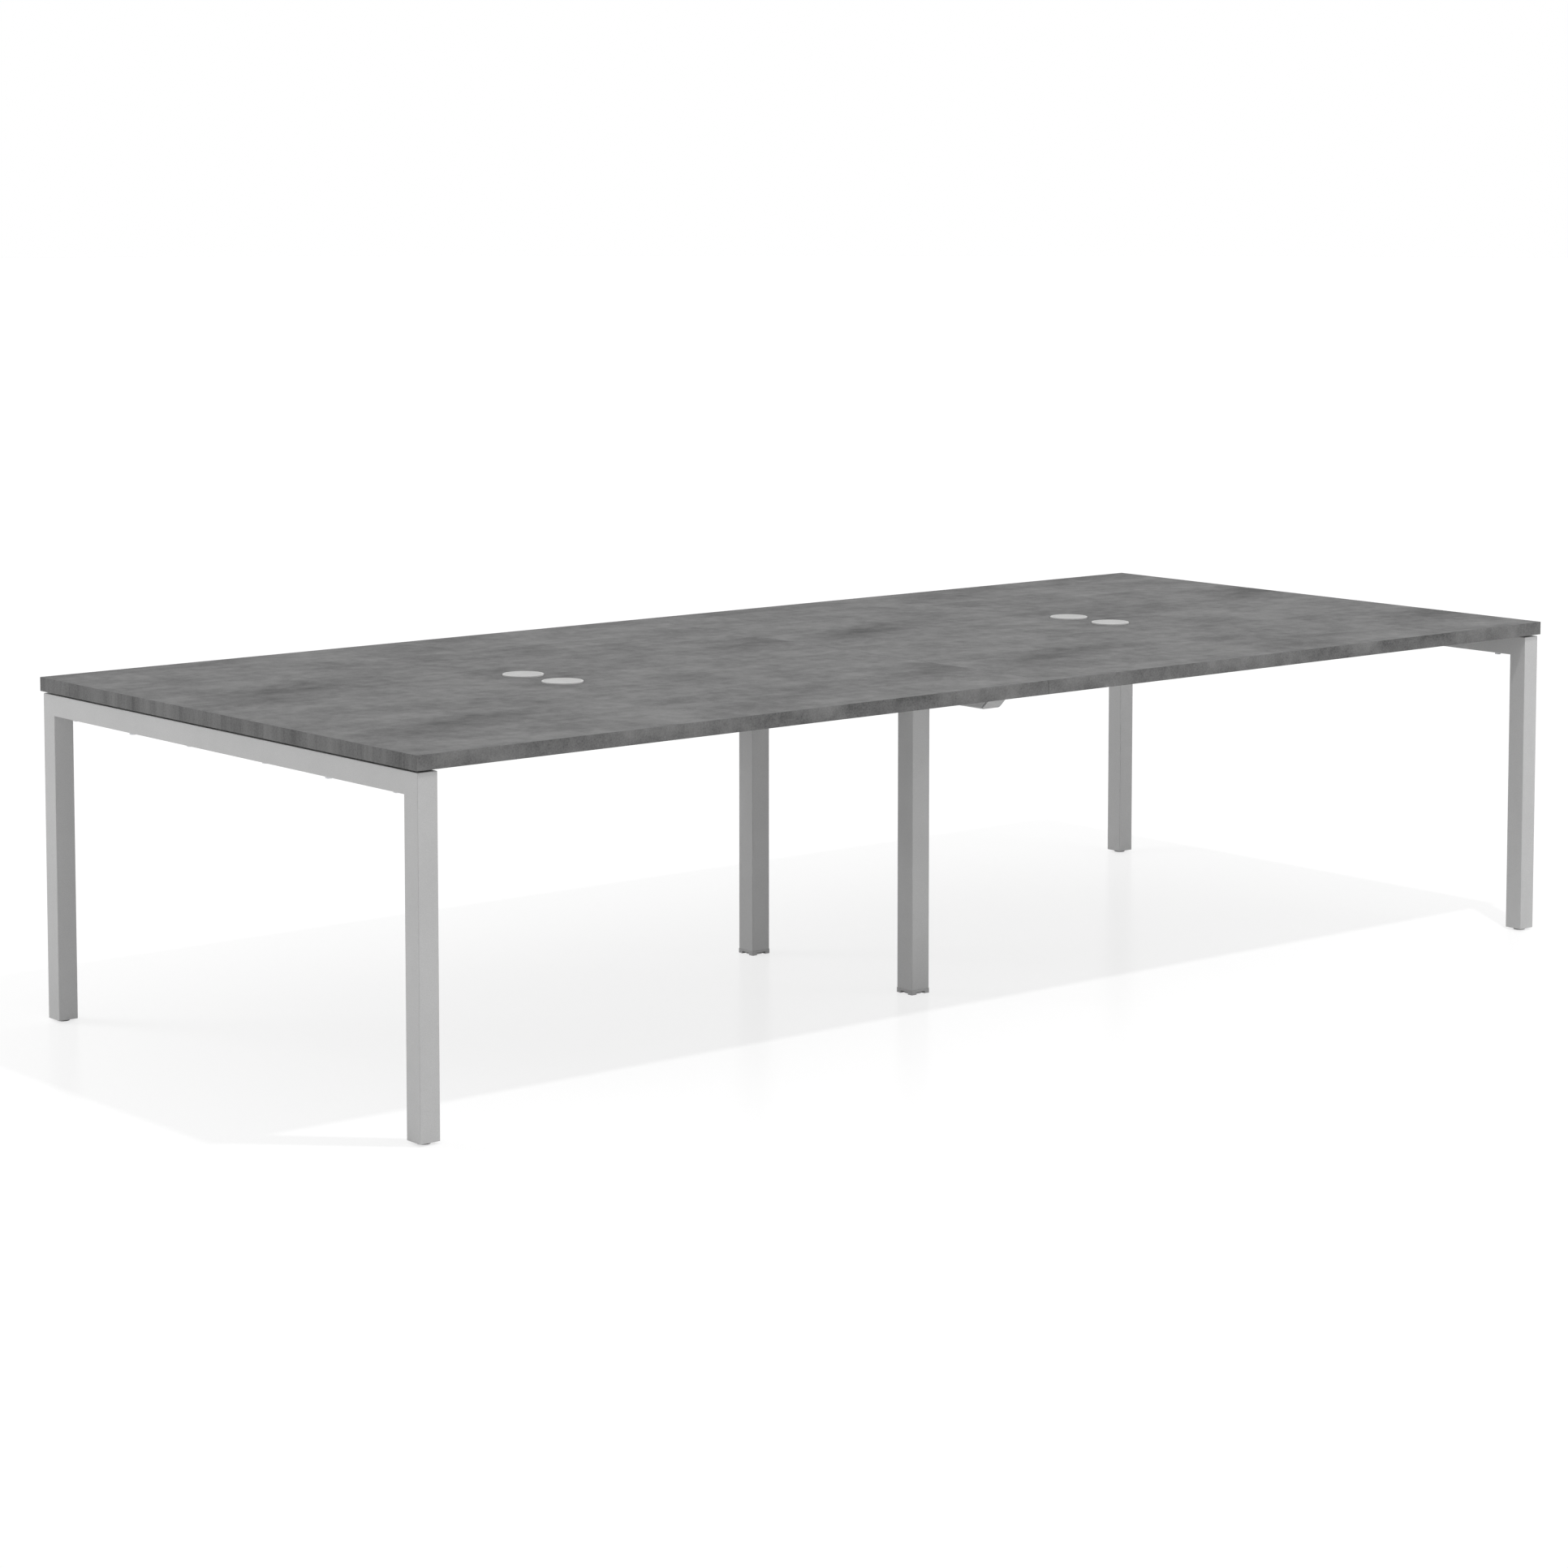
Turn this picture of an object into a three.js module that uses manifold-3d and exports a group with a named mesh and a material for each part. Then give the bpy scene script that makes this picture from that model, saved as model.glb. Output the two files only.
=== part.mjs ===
// Conference table: two concrete-look boards on welded end frames and a middle trestle.
// Millimetres, +Z up, +X along the table, origin on the floor under the middle of the table.

import * as THREE from 'three';
import { mergeVertices } from 'three/addons/utils/BufferGeometryUtils.js';
import loadManifold from 'manifold-3d';

const wasm = await loadManifold();
wasm.setup();

// Overall sizes
const TABLE_LENGTH = 3200;
const TABLE_WIDTH = 1400;
const TABLE_HEIGHT = 735;
const BOARD_THICKNESS = 30;
const SEAM_GAP = 0.6;
const FRAME_INSET = 5;
const SHADOW_GAP = 4;

// Clearances
const SEAT_GAP = 0.1;
const SLIP_GAP = 0.3;
const DRILL_CLEARANCE = 0.4;
const DRILL_DEPTH_SPARE = 1;
const WELD_GAP = 0.3;
const WELD_OVERLAP = 0.5;
const MERGE_DISTANCE = 1e-4;

// End frames
const TUBE = 45;
const TUBE_WALL = 2.5;
const TUBE_ROUND = 2.5;

// Levelling glides and the inserts that hold them
const GLIDE_DIAMETER = 27;
const GLIDE_HEIGHT = 5;
const GLIDE_CHAMFER = 1.2;
const STUD_DIAMETER = 10;
const STUD_LENGTH = 36;
const INSERT_HEIGHT = 30;

// Middle trestle
const MID_LEG = 50;
const MID_LEG_WALL = 2.5;
const MID_LEG_ROUND = 2.5;
const MID_LEG_PITCH = 550;
const CROSS_BEAM_WIDTH = 50;
const CROSS_BEAM_DEPTH = 45;
const CROSS_BEAM_WALL = 2.5;
const CROSS_BEAM_ROUND = 4;
const CROSS_BEAM_SETBACK = 133;
const BEAM_CAP_THICKNESS = 3;
const BEAM_CAP_PLUG = 12;
const FOOT_CAP_OVERHANG = 0.75;
const FOOT_CAP_HEIGHT = 10.5;
const FOOT_CAP_PLUG = 20;
const FOOT_NOTCH_WIDTH = 24;
const FOOT_NOTCH_HEIGHT = 5.5;
const FOOT_BOSS_DIAMETER = 40;
const FOOT_BOSS_LIFT = 0.5;

// Long stretchers
const STRETCHER_Y = 365;
const STRETCHER_WIDTH = 40;
const STRETCHER_DEPTH = 40;
const STRETCHER_WALL = 2;
const STRETCHER_ROUND = 2;
const STRETCHER_END_GAP = 1;
const TONGUE_WIDTH = 25;
const TONGUE_WELD_LENGTH = 80;
const TONGUE_SETBACK = 12;

// Bolts, spacers and the strip under the seam
const BOLT_DIAMETER = 8;
const BOLT_HEAD_ACROSS = 13;
const BOLT_HEAD_HEIGHT = 5;
const BOARD_BOLT_HEAD_HEIGHT = 3.5;
const BOLT_FLANGE_DIAMETER = 20;
const BOLT_FLANGE_HEIGHT = 2.5;
const BOLT_BITE = 16;
const BOARD_BOLT_INNER_PITCH = 282;
const BOARD_BOLT_CORNER = 105;
const SPACER_DIAMETER = 28;
const STRIP_WIDTH = 40;
const STRIP_END_GAP = 30;

// Cable grommets
const GROMMET_X = 800;
const GROMMET_PITCH = 140;
const GROMMET_FLANGE_DIAMETER = 88;
const GROMMET_FLANGE_HEIGHT = 3;
const GROMMET_EDGE = 1;
const GROMMET_SLEEVE_DIAMETER = 80;
const GROMMET_BORE_DIAMETER = 74;
const GROMMET_SLEEVE_DROP = 5;
const LID_THICKNESS = 2.5;
const LID_LEDGE = 2;
const LID_EDGE = 0.4;
const LID_SKIRT_DEPTH = 8;
const LID_SKIRT_WALL = 2;

// Facet counts
const HEX_SIDES = 6;
const BOLT_SIDES = 12;
const GLIDE_SIDES = 16;
const SPACER_SIDES = 16;
const GROMMET_SIDES = 24;
const CORNER_STEPS = 2;

// Levels and plan lines that follow from the sizes above
const boardBottom = TABLE_HEIGHT - BOARD_THICKNESS;
const frameTop = boardBottom - SHADOW_GAP;
const railBottom = frameTop - TUBE;
const crossBeamBottom = frameTop - CROSS_BEAM_DEPTH;
const railX = TABLE_LENGTH / 2 - FRAME_INSET - TUBE / 2;
const legY = TABLE_WIDTH / 2 - FRAME_INSET - TUBE / 2;
const railLength = TABLE_WIDTH - 2 * FRAME_INSET;
const seamBoltX = CROSS_BEAM_WIDTH / 4;
const stretcherStart = CROSS_BEAM_WIDTH / 2 + STRETCHER_END_GAP;
const stretcherEnd = railX - TUBE / 2 - STRETCHER_END_GAP;
const crossBeamLength = TABLE_WIDTH - 2 * CROSS_BEAM_SETBACK;
const outerBoltY = TABLE_WIDTH / 2 - BOARD_BOLT_CORNER;
const innerBoltY = BOARD_BOLT_INNER_PITCH / 2;
const boardBoltYs = [-outerBoltY, -innerBoltY, innerBoltY, outerBoltY];
const stripLength = 2 * (STRETCHER_Y - TONGUE_WIDTH / 2 - STRIP_END_GAP);
const stretcherYs = [-STRETCHER_Y, STRETCHER_Y];
const boltRadius = BOLT_DIAMETER / 2;
const drillRadius = boltRadius + DRILL_CLEARANCE;
const boltBiteTop = boardBottom + BOLT_BITE;

// Each end and each side of the table, with the sign of its X or Y
const ENDS = [
  { name: 'left', sign: -1 },
  { name: 'right', sign: 1 },
];
const SIDES = [
  { name: 'front', sign: -1 },
  { name: 'rear', sign: 1 },
];

// Finishes
const finishes = {
  concrete: new THREE.MeshStandardMaterial({ color: 0x87857f, roughness: 0.75, metalness: 0 }),
  silverPaint: new THREE.MeshStandardMaterial({ color: 0xb4b5b4, roughness: 0.45, metalness: 0.3 }),
  greyPlastic: new THREE.MeshStandardMaterial({ color: 0x9c9d9c, roughness: 0.6, metalness: 0 }),
  blackPlastic: new THREE.MeshStandardMaterial({ color: 0x1c1c1c, roughness: 0.7, metalness: 0 }),
  paleGrommet: new THREE.MeshStandardMaterial({ color: 0xcfd0cf, roughness: 0.4, metalness: 0.1 }),
  zinc: new THREE.MeshStandardMaterial({ color: 0xc2c4c6, roughness: 0.35, metalness: 1 }),
};

// A closed geometry as a solid that can be joined and cut
function toSolid(geometry) {
  const bare = geometry.clone();
  bare.deleteAttribute('normal');
  bare.deleteAttribute('uv');
  const merged = mergeVertices(bare, MERGE_DISTANCE);
  return new wasm.Manifold(new wasm.Mesh({
    numProp: 3,
    vertProperties: new Float32Array(merged.attributes.position.array),
    triVerts: new Uint32Array(merged.index.array),
  }));
}

// A solid back as a geometry with flat normals
function toGeometry(solid) {
  const mesh = solid.getMesh();
  const geometry = new THREE.BufferGeometry();
  geometry.setAttribute('position', new THREE.BufferAttribute(mesh.vertProperties, 3));
  geometry.setIndex(new THREE.BufferAttribute(mesh.triVerts, 1));
  geometry.computeVertexNormals();
  return geometry;
}

// Rectangle with round corners, about the origin
function roundedRectangle(width, height, radius) {
  const x = width / 2 - radius;
  const y = height / 2 - radius;
  const outline = new THREE.Shape();
  outline.moveTo(x + radius, y);
  outline.absarc(x, y, radius, 0, Math.PI / 2);
  outline.absarc(-x, y, radius, Math.PI / 2, Math.PI);
  outline.absarc(-x, -y, radius, Math.PI, 1.5 * Math.PI);
  outline.absarc(x, -y, radius, 1.5 * Math.PI, 2 * Math.PI);
  return outline;
}

// A section run up Z from 0 to its length
function prism(section, length) {
  return new THREE.ExtrudeGeometry(section, {
    depth: length,
    bevelEnabled: false,
    curveSegments: CORNER_STEPS,
  });
}

// Rectangular tube with round outer corners, run up Z from 0 to its length
function tube(width, height, wall, radius, length) {
  const bar = toSolid(prism(roundedRectangle(width, height, radius), length));
  const bore = new THREE.BoxGeometry(width - 2 * wall, height - 2 * wall, 2 * length)
    .translate(0, 0, length / 2);
  return toGeometry(bar.subtract(toSolid(bore)));
}

// A length that runs up Z from 0, laid along X or Y and centred on the origin
function alongX(geometry, length) {
  return geometry.translate(0, 0, -length / 2).rotateY(Math.PI / 2);
}

function alongY(geometry, length) {
  return geometry.translate(0, 0, -length / 2).rotateX(-Math.PI / 2);
}

// Upright round bar between two levels
function roundBar(radius, low, high, sides) {
  return new THREE.CylinderGeometry(radius, radius, high - low, sides)
    .rotateX(Math.PI / 2)
    .translate(0, 0, (low + high) / 2);
}

// Turned piece from a profile of [radius, level] pairs, with its axis up Z
function turned(profile, sides) {
  const points = profile.map(([radius, level]) => new THREE.Vector2(radius, level));
  return new THREE.LatheGeometry(points, sides).rotateX(Math.PI / 2);
}

// Block that covers everything on the side of a plane that its direction points to
function blockBeyond(point, direction) {
  const reach = 2 * TABLE_LENGTH;
  const up = new THREE.Vector3(0, 0, 1);
  const turn = new THREE.Quaternion().setFromUnitVectors(up, direction);
  return new THREE.BoxGeometry(reach, reach, reach)
    .translate(0, 0, reach / 2)
    .applyQuaternion(turn)
    .translate(point.x, point.y, point.z);
}

function cutBeyond(solid, point, direction) {
  return solid.subtract(toSolid(blockBeyond(point, direction)));
}

// Round holes through a solid, upright, at the given plan points
function drill(solid, plan, radius, low, high, sides) {
  const bit = roundBar(radius, low, high, sides);
  return plan.reduce((rest, [x, y]) => rest.subtract(toSolid(bit.clone().translate(x, y, 0))), solid);
}

function addMesh(group, name, geometry, material, x = 0, y = 0, z = 0) {
  const mesh = new THREE.Mesh(geometry, material.clone());
  mesh.name = name;
  mesh.position.set(x, y, z);
  group.add(mesh);
  return mesh;
}

// One board of the table surface, with its grommet holes and the blind holes of its bolts
function boardGeometry(sign) {
  const length = (TABLE_LENGTH - SEAM_GAP) / 2;
  const middle = sign * (SEAM_GAP + length) / 2;
  const slab = new THREE.BoxGeometry(length, TABLE_WIDTH, BOARD_THICKNESS)
    .translate(middle, 0, boardBottom + BOARD_THICKNESS / 2);
  const grommets = SIDES.map((side) => [sign * GROMMET_X, side.sign * GROMMET_PITCH / 2]);
  const railBolts = boardBoltYs.map((y) => [sign * railX, y]);
  const seamBolts = stretcherYs.map((y) => [sign * seamBoltX, y]);
  const grommetRadius = GROMMET_SLEEVE_DIAMETER / 2 + DRILL_CLEARANCE;
  const below = boardBottom - BOARD_THICKNESS;
  const above = TABLE_HEIGHT + BOARD_THICKNESS;
  const blindTop = boltBiteTop + DRILL_DEPTH_SPARE;
  const pierced = drill(toSolid(slab), grommets, grommetRadius, below, above, GROMMET_SIDES);
  return toGeometry(drill(pierced, [...railBolts, ...seamBolts], drillRadius, below, blindTop, BOLT_SIDES));
}

// End rail: square tube along Y, mitred at both ends, drilled for its bolts
function endRailGeometry() {
  const bar = toSolid(alongY(tube(TUBE, TUBE, TUBE_WALL, TUBE_ROUND, railLength), railLength));
  const mitred = SIDES.reduce((rest, { sign }) => {
    const direction = new THREE.Vector3(0, sign, -1).normalize();
    const point = new THREE.Vector3(0, sign * legY, 0).addScaledVector(direction, -WELD_GAP / 2);
    return cutBeyond(rest, point, direction);
  }, bar);
  const plan = [...boardBoltYs, ...stretcherYs].map((y) => [0, y]);
  return toGeometry(drill(mitred, plan, drillRadius, -TUBE, TUBE, BOLT_SIDES));
}

// End leg, mitred at its top towards +Y; its own frame stands on the floor at the leg's axis
function endLegGeometry() {
  const length = frameTop - GLIDE_HEIGHT;
  const bar = toSolid(tube(TUBE, TUBE, TUBE_WALL, TUBE_ROUND, length).translate(0, 0, GLIDE_HEIGHT));
  const direction = new THREE.Vector3(0, 1, 1).normalize();
  const corner = new THREE.Vector3(0, 0, frameTop - TUBE / 2).addScaledVector(direction, -WELD_GAP / 2);
  return toGeometry(cutBeyond(bar, corner, direction));
}

// Square plug in the foot of an end leg, bored for the glide's stud
function insertGeometry() {
  const width = TUBE - 2 * TUBE_WALL - 2 * SLIP_GAP;
  const plug = new THREE.BoxGeometry(width, width, INSERT_HEIGHT)
    .translate(0, 0, GLIDE_HEIGHT + INSERT_HEIGHT / 2);
  const bore = STUD_DIAMETER / 2 + SLIP_GAP;
  const above = GLIDE_HEIGHT + 2 * INSERT_HEIGHT;
  return toGeometry(drill(toSolid(plug), [[0, 0]], bore, 0, above, GLIDE_SIDES));
}

// Round glide with its stud, turned as one piece
function glideGeometry() {
  const foot = GLIDE_DIAMETER / 2;
  const top = GLIDE_HEIGHT - SEAT_GAP;
  const stud = STUD_DIAMETER / 2;
  return turned([
    [0, 0],
    [foot - GLIDE_CHAMFER, 0],
    [foot, GLIDE_CHAMFER],
    [foot, top],
    [stud, top],
    [stud, top + STUD_LENGTH],
    [0, top + STUD_LENGTH],
  ], GLIDE_SIDES);
}

// Middle leg between its foot cap and the cross beam
function midLegGeometry() {
  const low = FOOT_CAP_HEIGHT + SEAT_GAP;
  const length = crossBeamBottom - SEAT_GAP - low;
  return tube(MID_LEG, MID_LEG, MID_LEG_WALL, MID_LEG_ROUND, length).translate(0, 0, low);
}

// Foot cap: a square shoe with a plug in the leg, and a crossed channel under it round a boss
function footCapGeometry() {
  const width = MID_LEG + 2 * FOOT_CAP_OVERHANG;
  const plugWidth = MID_LEG - 2 * MID_LEG_WALL - 2 * SLIP_GAP;
  const shoe = toSolid(prism(roundedRectangle(width, width, MID_LEG_ROUND), FOOT_CAP_HEIGHT));
  const plugHeight = FOOT_CAP_PLUG + FOOT_CAP_HEIGHT / 2;
  const plug = toSolid(new THREE.BoxGeometry(plugWidth, plugWidth, plugHeight)
    .translate(0, 0, FOOT_CAP_HEIGHT / 2 + plugHeight / 2));
  const channel = (x, y) => toSolid(new THREE.BoxGeometry(x, y, 2 * FOOT_NOTCH_HEIGHT));
  const bossTop = FOOT_NOTCH_HEIGHT + WELD_OVERLAP;
  const boss = toSolid(roundBar(FOOT_BOSS_DIAMETER / 2, FOOT_BOSS_LIFT, bossTop, GROMMET_SIDES));
  return toGeometry(shoe.add(plug)
    .subtract(channel(2 * width, FOOT_NOTCH_WIDTH))
    .subtract(channel(FOOT_NOTCH_WIDTH, 2 * width))
    .add(boss));
}

// The slanted end plane of the cross beam, moved in from the end by a distance along its normal
function slantedEnd(sign, inward) {
  const direction = new THREE.Vector3(0, sign, -1).normalize();
  const point = new THREE.Vector3(0, sign * crossBeamLength / 2, CROSS_BEAM_DEPTH / 2);
  return { direction, point: point.addScaledVector(direction, -inward) };
}

function cutSlanted(solid, sign, inward) {
  const { direction, point } = slantedEnd(sign, inward);
  return cutBeyond(solid, point, direction);
}

// Cross beam along Y, about its own middle, with both ends cut back underneath
function crossBeamGeometry() {
  const bar = tube(CROSS_BEAM_WIDTH, CROSS_BEAM_DEPTH, CROSS_BEAM_WALL, CROSS_BEAM_ROUND, crossBeamLength);
  const inward = BEAM_CAP_THICKNESS + SLIP_GAP;
  const cut = SIDES.reduce(
    (rest, { sign }) => cutSlanted(rest, sign, inward),
    toSolid(alongY(bar, crossBeamLength)),
  );
  const plan = stretcherYs.flatMap((y) => ENDS.map((end) => [end.sign * seamBoltX, y]));
  return toGeometry(drill(cut, plan, drillRadius, -CROSS_BEAM_DEPTH, CROSS_BEAM_DEPTH, BOLT_SIDES));
}

// End cap of the cross beam: a slanted plate with a plug in the tube
function beamCapGeometry(sign) {
  const { direction, point } = slantedEnd(sign, BEAM_CAP_THICKNESS);
  const outline = roundedRectangle(CROSS_BEAM_WIDTH, CROSS_BEAM_DEPTH, CROSS_BEAM_ROUND);
  const plateBar = alongY(prism(outline, crossBeamLength), crossBeamLength);
  const plugWidth = CROSS_BEAM_WIDTH - 2 * CROSS_BEAM_WALL - 2 * SLIP_GAP;
  const plugDepth = CROSS_BEAM_DEPTH - 2 * CROSS_BEAM_WALL - 2 * SLIP_GAP;
  const plugBar = new THREE.BoxGeometry(plugWidth, crossBeamLength, plugDepth);
  const inward = direction.clone().negate();
  const plate = cutBeyond(cutSlanted(toSolid(plateBar), sign, 0), point, inward);
  const plugEnd = slantedEnd(sign, BEAM_CAP_THICKNESS + BEAM_CAP_PLUG).point;
  const plug = cutBeyond(cutSlanted(toSolid(plugBar), sign, BEAM_CAP_THICKNESS / 2), plugEnd, inward);
  return toGeometry(plate.add(plug));
}

// Stretcher on the +X half: a tube with a flat tongue welded on each end of its top
function stretcherGeometry() {
  const length = stretcherEnd - stretcherStart;
  const bar = tube(STRETCHER_DEPTH, STRETCHER_WIDTH, STRETCHER_WALL, STRETCHER_ROUND, length);
  const beam = toSolid(alongX(bar, length)
    .translate(stretcherStart + length / 2, 0, frameTop - STRETCHER_DEPTH / 2));
  const low = frameTop + SEAT_GAP;
  const high = boardBottom - SEAT_GAP;
  const plate = (start, end, bottom) => toSolid(
    new THREE.BoxGeometry(end - start, TONGUE_WIDTH, high - bottom)
      .translate((start + end) / 2, 0, (high + bottom) / 2),
  );
  const innerTip = STRETCHER_END_GAP;
  const outerTip = railX + TUBE / 2 - TONGUE_SETBACK;
  const weldLow = frameTop - WELD_OVERLAP;
  const innerWeld = plate(stretcherStart, stretcherStart + TONGUE_WELD_LENGTH, weldLow);
  const outerWeld = plate(stretcherEnd - TONGUE_WELD_LENGTH, stretcherEnd, weldLow);
  const innerTongue = plate(innerTip, stretcherStart + TONGUE_WELD_LENGTH, low);
  const outerTongue = plate(stretcherEnd - TONGUE_WELD_LENGTH, outerTip, low);
  const welded = beam.add(innerWeld).add(outerWeld).add(innerTongue).add(outerTongue);
  const plan = [[seamBoltX, 0], [railX, 0]];
  return toGeometry(drill(welded, plan, drillRadius, weldLow, boltBiteTop, BOLT_SIDES));
}

// Flanged hex bolt whose flange bears up against a level, with its tip at another level
function boltGeometry(bearing, tip, headHeight) {
  const face = bearing - SEAT_GAP;
  const flangeLow = face - BOLT_FLANGE_HEIGHT;
  const headRadius = BOLT_HEAD_ACROSS / Math.sqrt(3);
  const shank = toSolid(roundBar(boltRadius, flangeLow + BOLT_FLANGE_HEIGHT / 2, tip, BOLT_SIDES));
  const flange = toSolid(roundBar(BOLT_FLANGE_DIAMETER / 2, flangeLow, face, BOLT_SIDES));
  const headLow = flangeLow - headHeight;
  const head = toSolid(roundBar(headRadius, headLow, flangeLow + WELD_OVERLAP, HEX_SIDES));
  return toGeometry(shank.add(flange).add(head));
}

// Ring that holds the board off the rail, around a bolt
function spacerGeometry() {
  const outer = SPACER_DIAMETER / 2;
  const low = frameTop + SEAT_GAP;
  const high = boardBottom - SEAT_GAP;
  return turned([
    [drillRadius, low],
    [outer, low],
    [outer, high],
    [drillRadius, high],
    [drillRadius, low],
  ], SPACER_SIDES);
}

// Grommet liner: a sleeve through the board with a flange on it and a ledge for the lid
const lidSeat = TABLE_HEIGHT + SEAT_GAP + GROMMET_FLANGE_HEIGHT - LID_THICKNESS;
const flangeTop = TABLE_HEIGHT + SEAT_GAP + GROMMET_FLANGE_HEIGHT;

function grommetLinerGeometry() {
  const bore = GROMMET_BORE_DIAMETER / 2;
  const sleeve = GROMMET_SLEEVE_DIAMETER / 2;
  const flange = GROMMET_FLANGE_DIAMETER / 2;
  const flangeLow = TABLE_HEIGHT + SEAT_GAP;
  const low = boardBottom - GROMMET_SLEEVE_DROP;
  return turned([
    [bore, low],
    [sleeve, low],
    [sleeve, flangeLow],
    [flange, flangeLow],
    [flange, flangeTop - GROMMET_EDGE],
    [flange - GROMMET_EDGE, flangeTop],
    [bore + LID_LEDGE, flangeTop],
    [bore + LID_LEDGE, lidSeat],
    [bore, lidSeat],
    [bore, low],
  ], GROMMET_SIDES);
}

// Lid that drops into the liner's ledge, with a skirt inside the bore
function grommetLidGeometry() {
  const disc = GROMMET_BORE_DIAMETER / 2 + LID_LEDGE - SLIP_GAP;
  const skirt = GROMMET_BORE_DIAMETER / 2 - SLIP_GAP;
  const under = lidSeat + SEAT_GAP;
  return turned([
    [0, under],
    [skirt - LID_SKIRT_WALL, under],
    [skirt - LID_SKIRT_WALL, under - LID_SKIRT_DEPTH],
    [skirt, under - LID_SKIRT_DEPTH],
    [skirt, under],
    [disc, under],
    [disc, flangeTop - LID_EDGE],
    [disc - LID_EDGE, flangeTop],
    [0, flangeTop],
  ], GROMMET_SIDES);
}

function buildTop() {
  const top = new THREE.Group();
  const liner = grommetLinerGeometry();
  const lid = grommetLidGeometry();
  for (const end of ENDS) {
    addMesh(top, `top_board_${end.name}`, boardGeometry(end.sign), finishes.concrete);
    for (const side of SIDES) {
      const place = [end.sign * GROMMET_X, side.sign * GROMMET_PITCH / 2];
      addMesh(top, `${end.name}_${side.name}_grommet_liner`, liner, finishes.paleGrommet, ...place);
      addMesh(top, `${end.name}_${side.name}_grommet_lid`, lid, finishes.paleGrommet, ...place);
    }
  }
  return top;
}

// One end frame about its own rail axis, with the glides, spacers and bolts that belong to it
function buildEndFrame(end) {
  const frame = new THREE.Group();
  frame.position.x = end.sign * railX;
  addMesh(frame, `${end.name}_end_rail`, endRailGeometry(), finishes.silverPaint, 0, 0, frameTop - TUBE / 2);
  for (const side of SIDES) {
    const stand = new THREE.Group();
    stand.position.y = side.sign * legY;
    stand.rotation.z = side.sign > 0 ? Math.PI : 0;
    const corner = `${end.name}_${side.name}`;
    addMesh(stand, `${corner}_leg`, endLegGeometry(), finishes.silverPaint);
    addMesh(stand, `${corner}_leg_insert`, insertGeometry(), finishes.blackPlastic);
    addMesh(stand, `${corner}_glide`, glideGeometry(), finishes.greyPlastic);
    frame.add(stand);
    const bolt = boltGeometry(railBottom, boardBottom - SEAT_GAP, BOLT_HEAD_HEIGHT);
    addMesh(frame, `${corner}_stretcher_bolt`, bolt, finishes.zinc, 0, side.sign * STRETCHER_Y);
  }
  boardBoltYs.forEach((y, index) => {
    const place = `${end.name}_${index + 1}`;
    addMesh(frame, `board_spacer_${place}`, spacerGeometry(), finishes.blackPlastic, 0, y);
    const bolt = boltGeometry(railBottom, boltBiteTop, BOARD_BOLT_HEAD_HEIGHT);
    addMesh(frame, `board_bolt_${place}`, bolt, finishes.zinc, 0, y);
  });
  return frame;
}

// Middle trestle: two capped legs under a cross beam
function buildTrestle() {
  const trestle = new THREE.Group();
  const beamZ = frameTop - CROSS_BEAM_DEPTH / 2;
  addMesh(trestle, 'cross_beam', crossBeamGeometry(), finishes.silverPaint, 0, 0, beamZ);
  for (const side of SIDES) {
    const y = side.sign * MID_LEG_PITCH / 2;
    addMesh(trestle, `mid_${side.name}_leg`, midLegGeometry(), finishes.silverPaint, 0, y);
    addMesh(trestle, `mid_${side.name}_foot_cap`, footCapGeometry(), finishes.greyPlastic, 0, y);
    const cap = beamCapGeometry(side.sign);
    addMesh(trestle, `cross_beam_${side.name}_cap`, cap, finishes.greyPlastic, 0, 0, beamZ);
  }
  const strip = new THREE.BoxGeometry(STRIP_WIDTH, stripLength, SHADOW_GAP - 2 * SEAT_GAP);
  addMesh(trestle, 'seam_strip', strip, finishes.blackPlastic, 0, 0, frameTop + SHADOW_GAP / 2);
  return trestle;
}

// Stretchers of both halves, with the bolts that hold them and the boards to the cross beam
function buildStretchers() {
  const stretchers = new THREE.Group();
  for (const end of ENDS) {
    for (const side of SIDES) {
      const half = new THREE.Group();
      half.position.y = side.sign * STRETCHER_Y;
      half.rotation.z = end.sign > 0 ? 0 : Math.PI;
      const corner = `${end.name}_${side.name}`;
      addMesh(half, `${corner}_stretcher`, stretcherGeometry(), finishes.silverPaint);
      const seamBolt = boltGeometry(crossBeamBottom, boltBiteTop, BOLT_HEAD_HEIGHT);
      addMesh(half, `${corner}_seam_bolt`, seamBolt, finishes.zinc, seamBoltX);
      stretchers.add(half);
    }
  }
  return stretchers;
}

const table = new THREE.Group();
table.add(buildTop(), ...ENDS.map(buildEndFrame), buildTrestle(), buildStretchers());

export default table;
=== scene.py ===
"""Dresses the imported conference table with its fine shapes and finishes.

Two boards with a concrete-look laminate lie on two welded end frames and on a trestle in the middle,
held by stretchers, spacers and bolts, with four cable grommets in the surface.

Lengths are in metres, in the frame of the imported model: X runs along the table, Y runs across it to the
rear, and Z runs up from the floor.
"""

from __future__ import annotations

import logging
import math
from dataclasses import dataclass, field
from enum import Enum
from typing import Iterable, Optional, Sequence, Union

import bmesh
import bpy
from mathutils import Matrix, Vector

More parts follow.
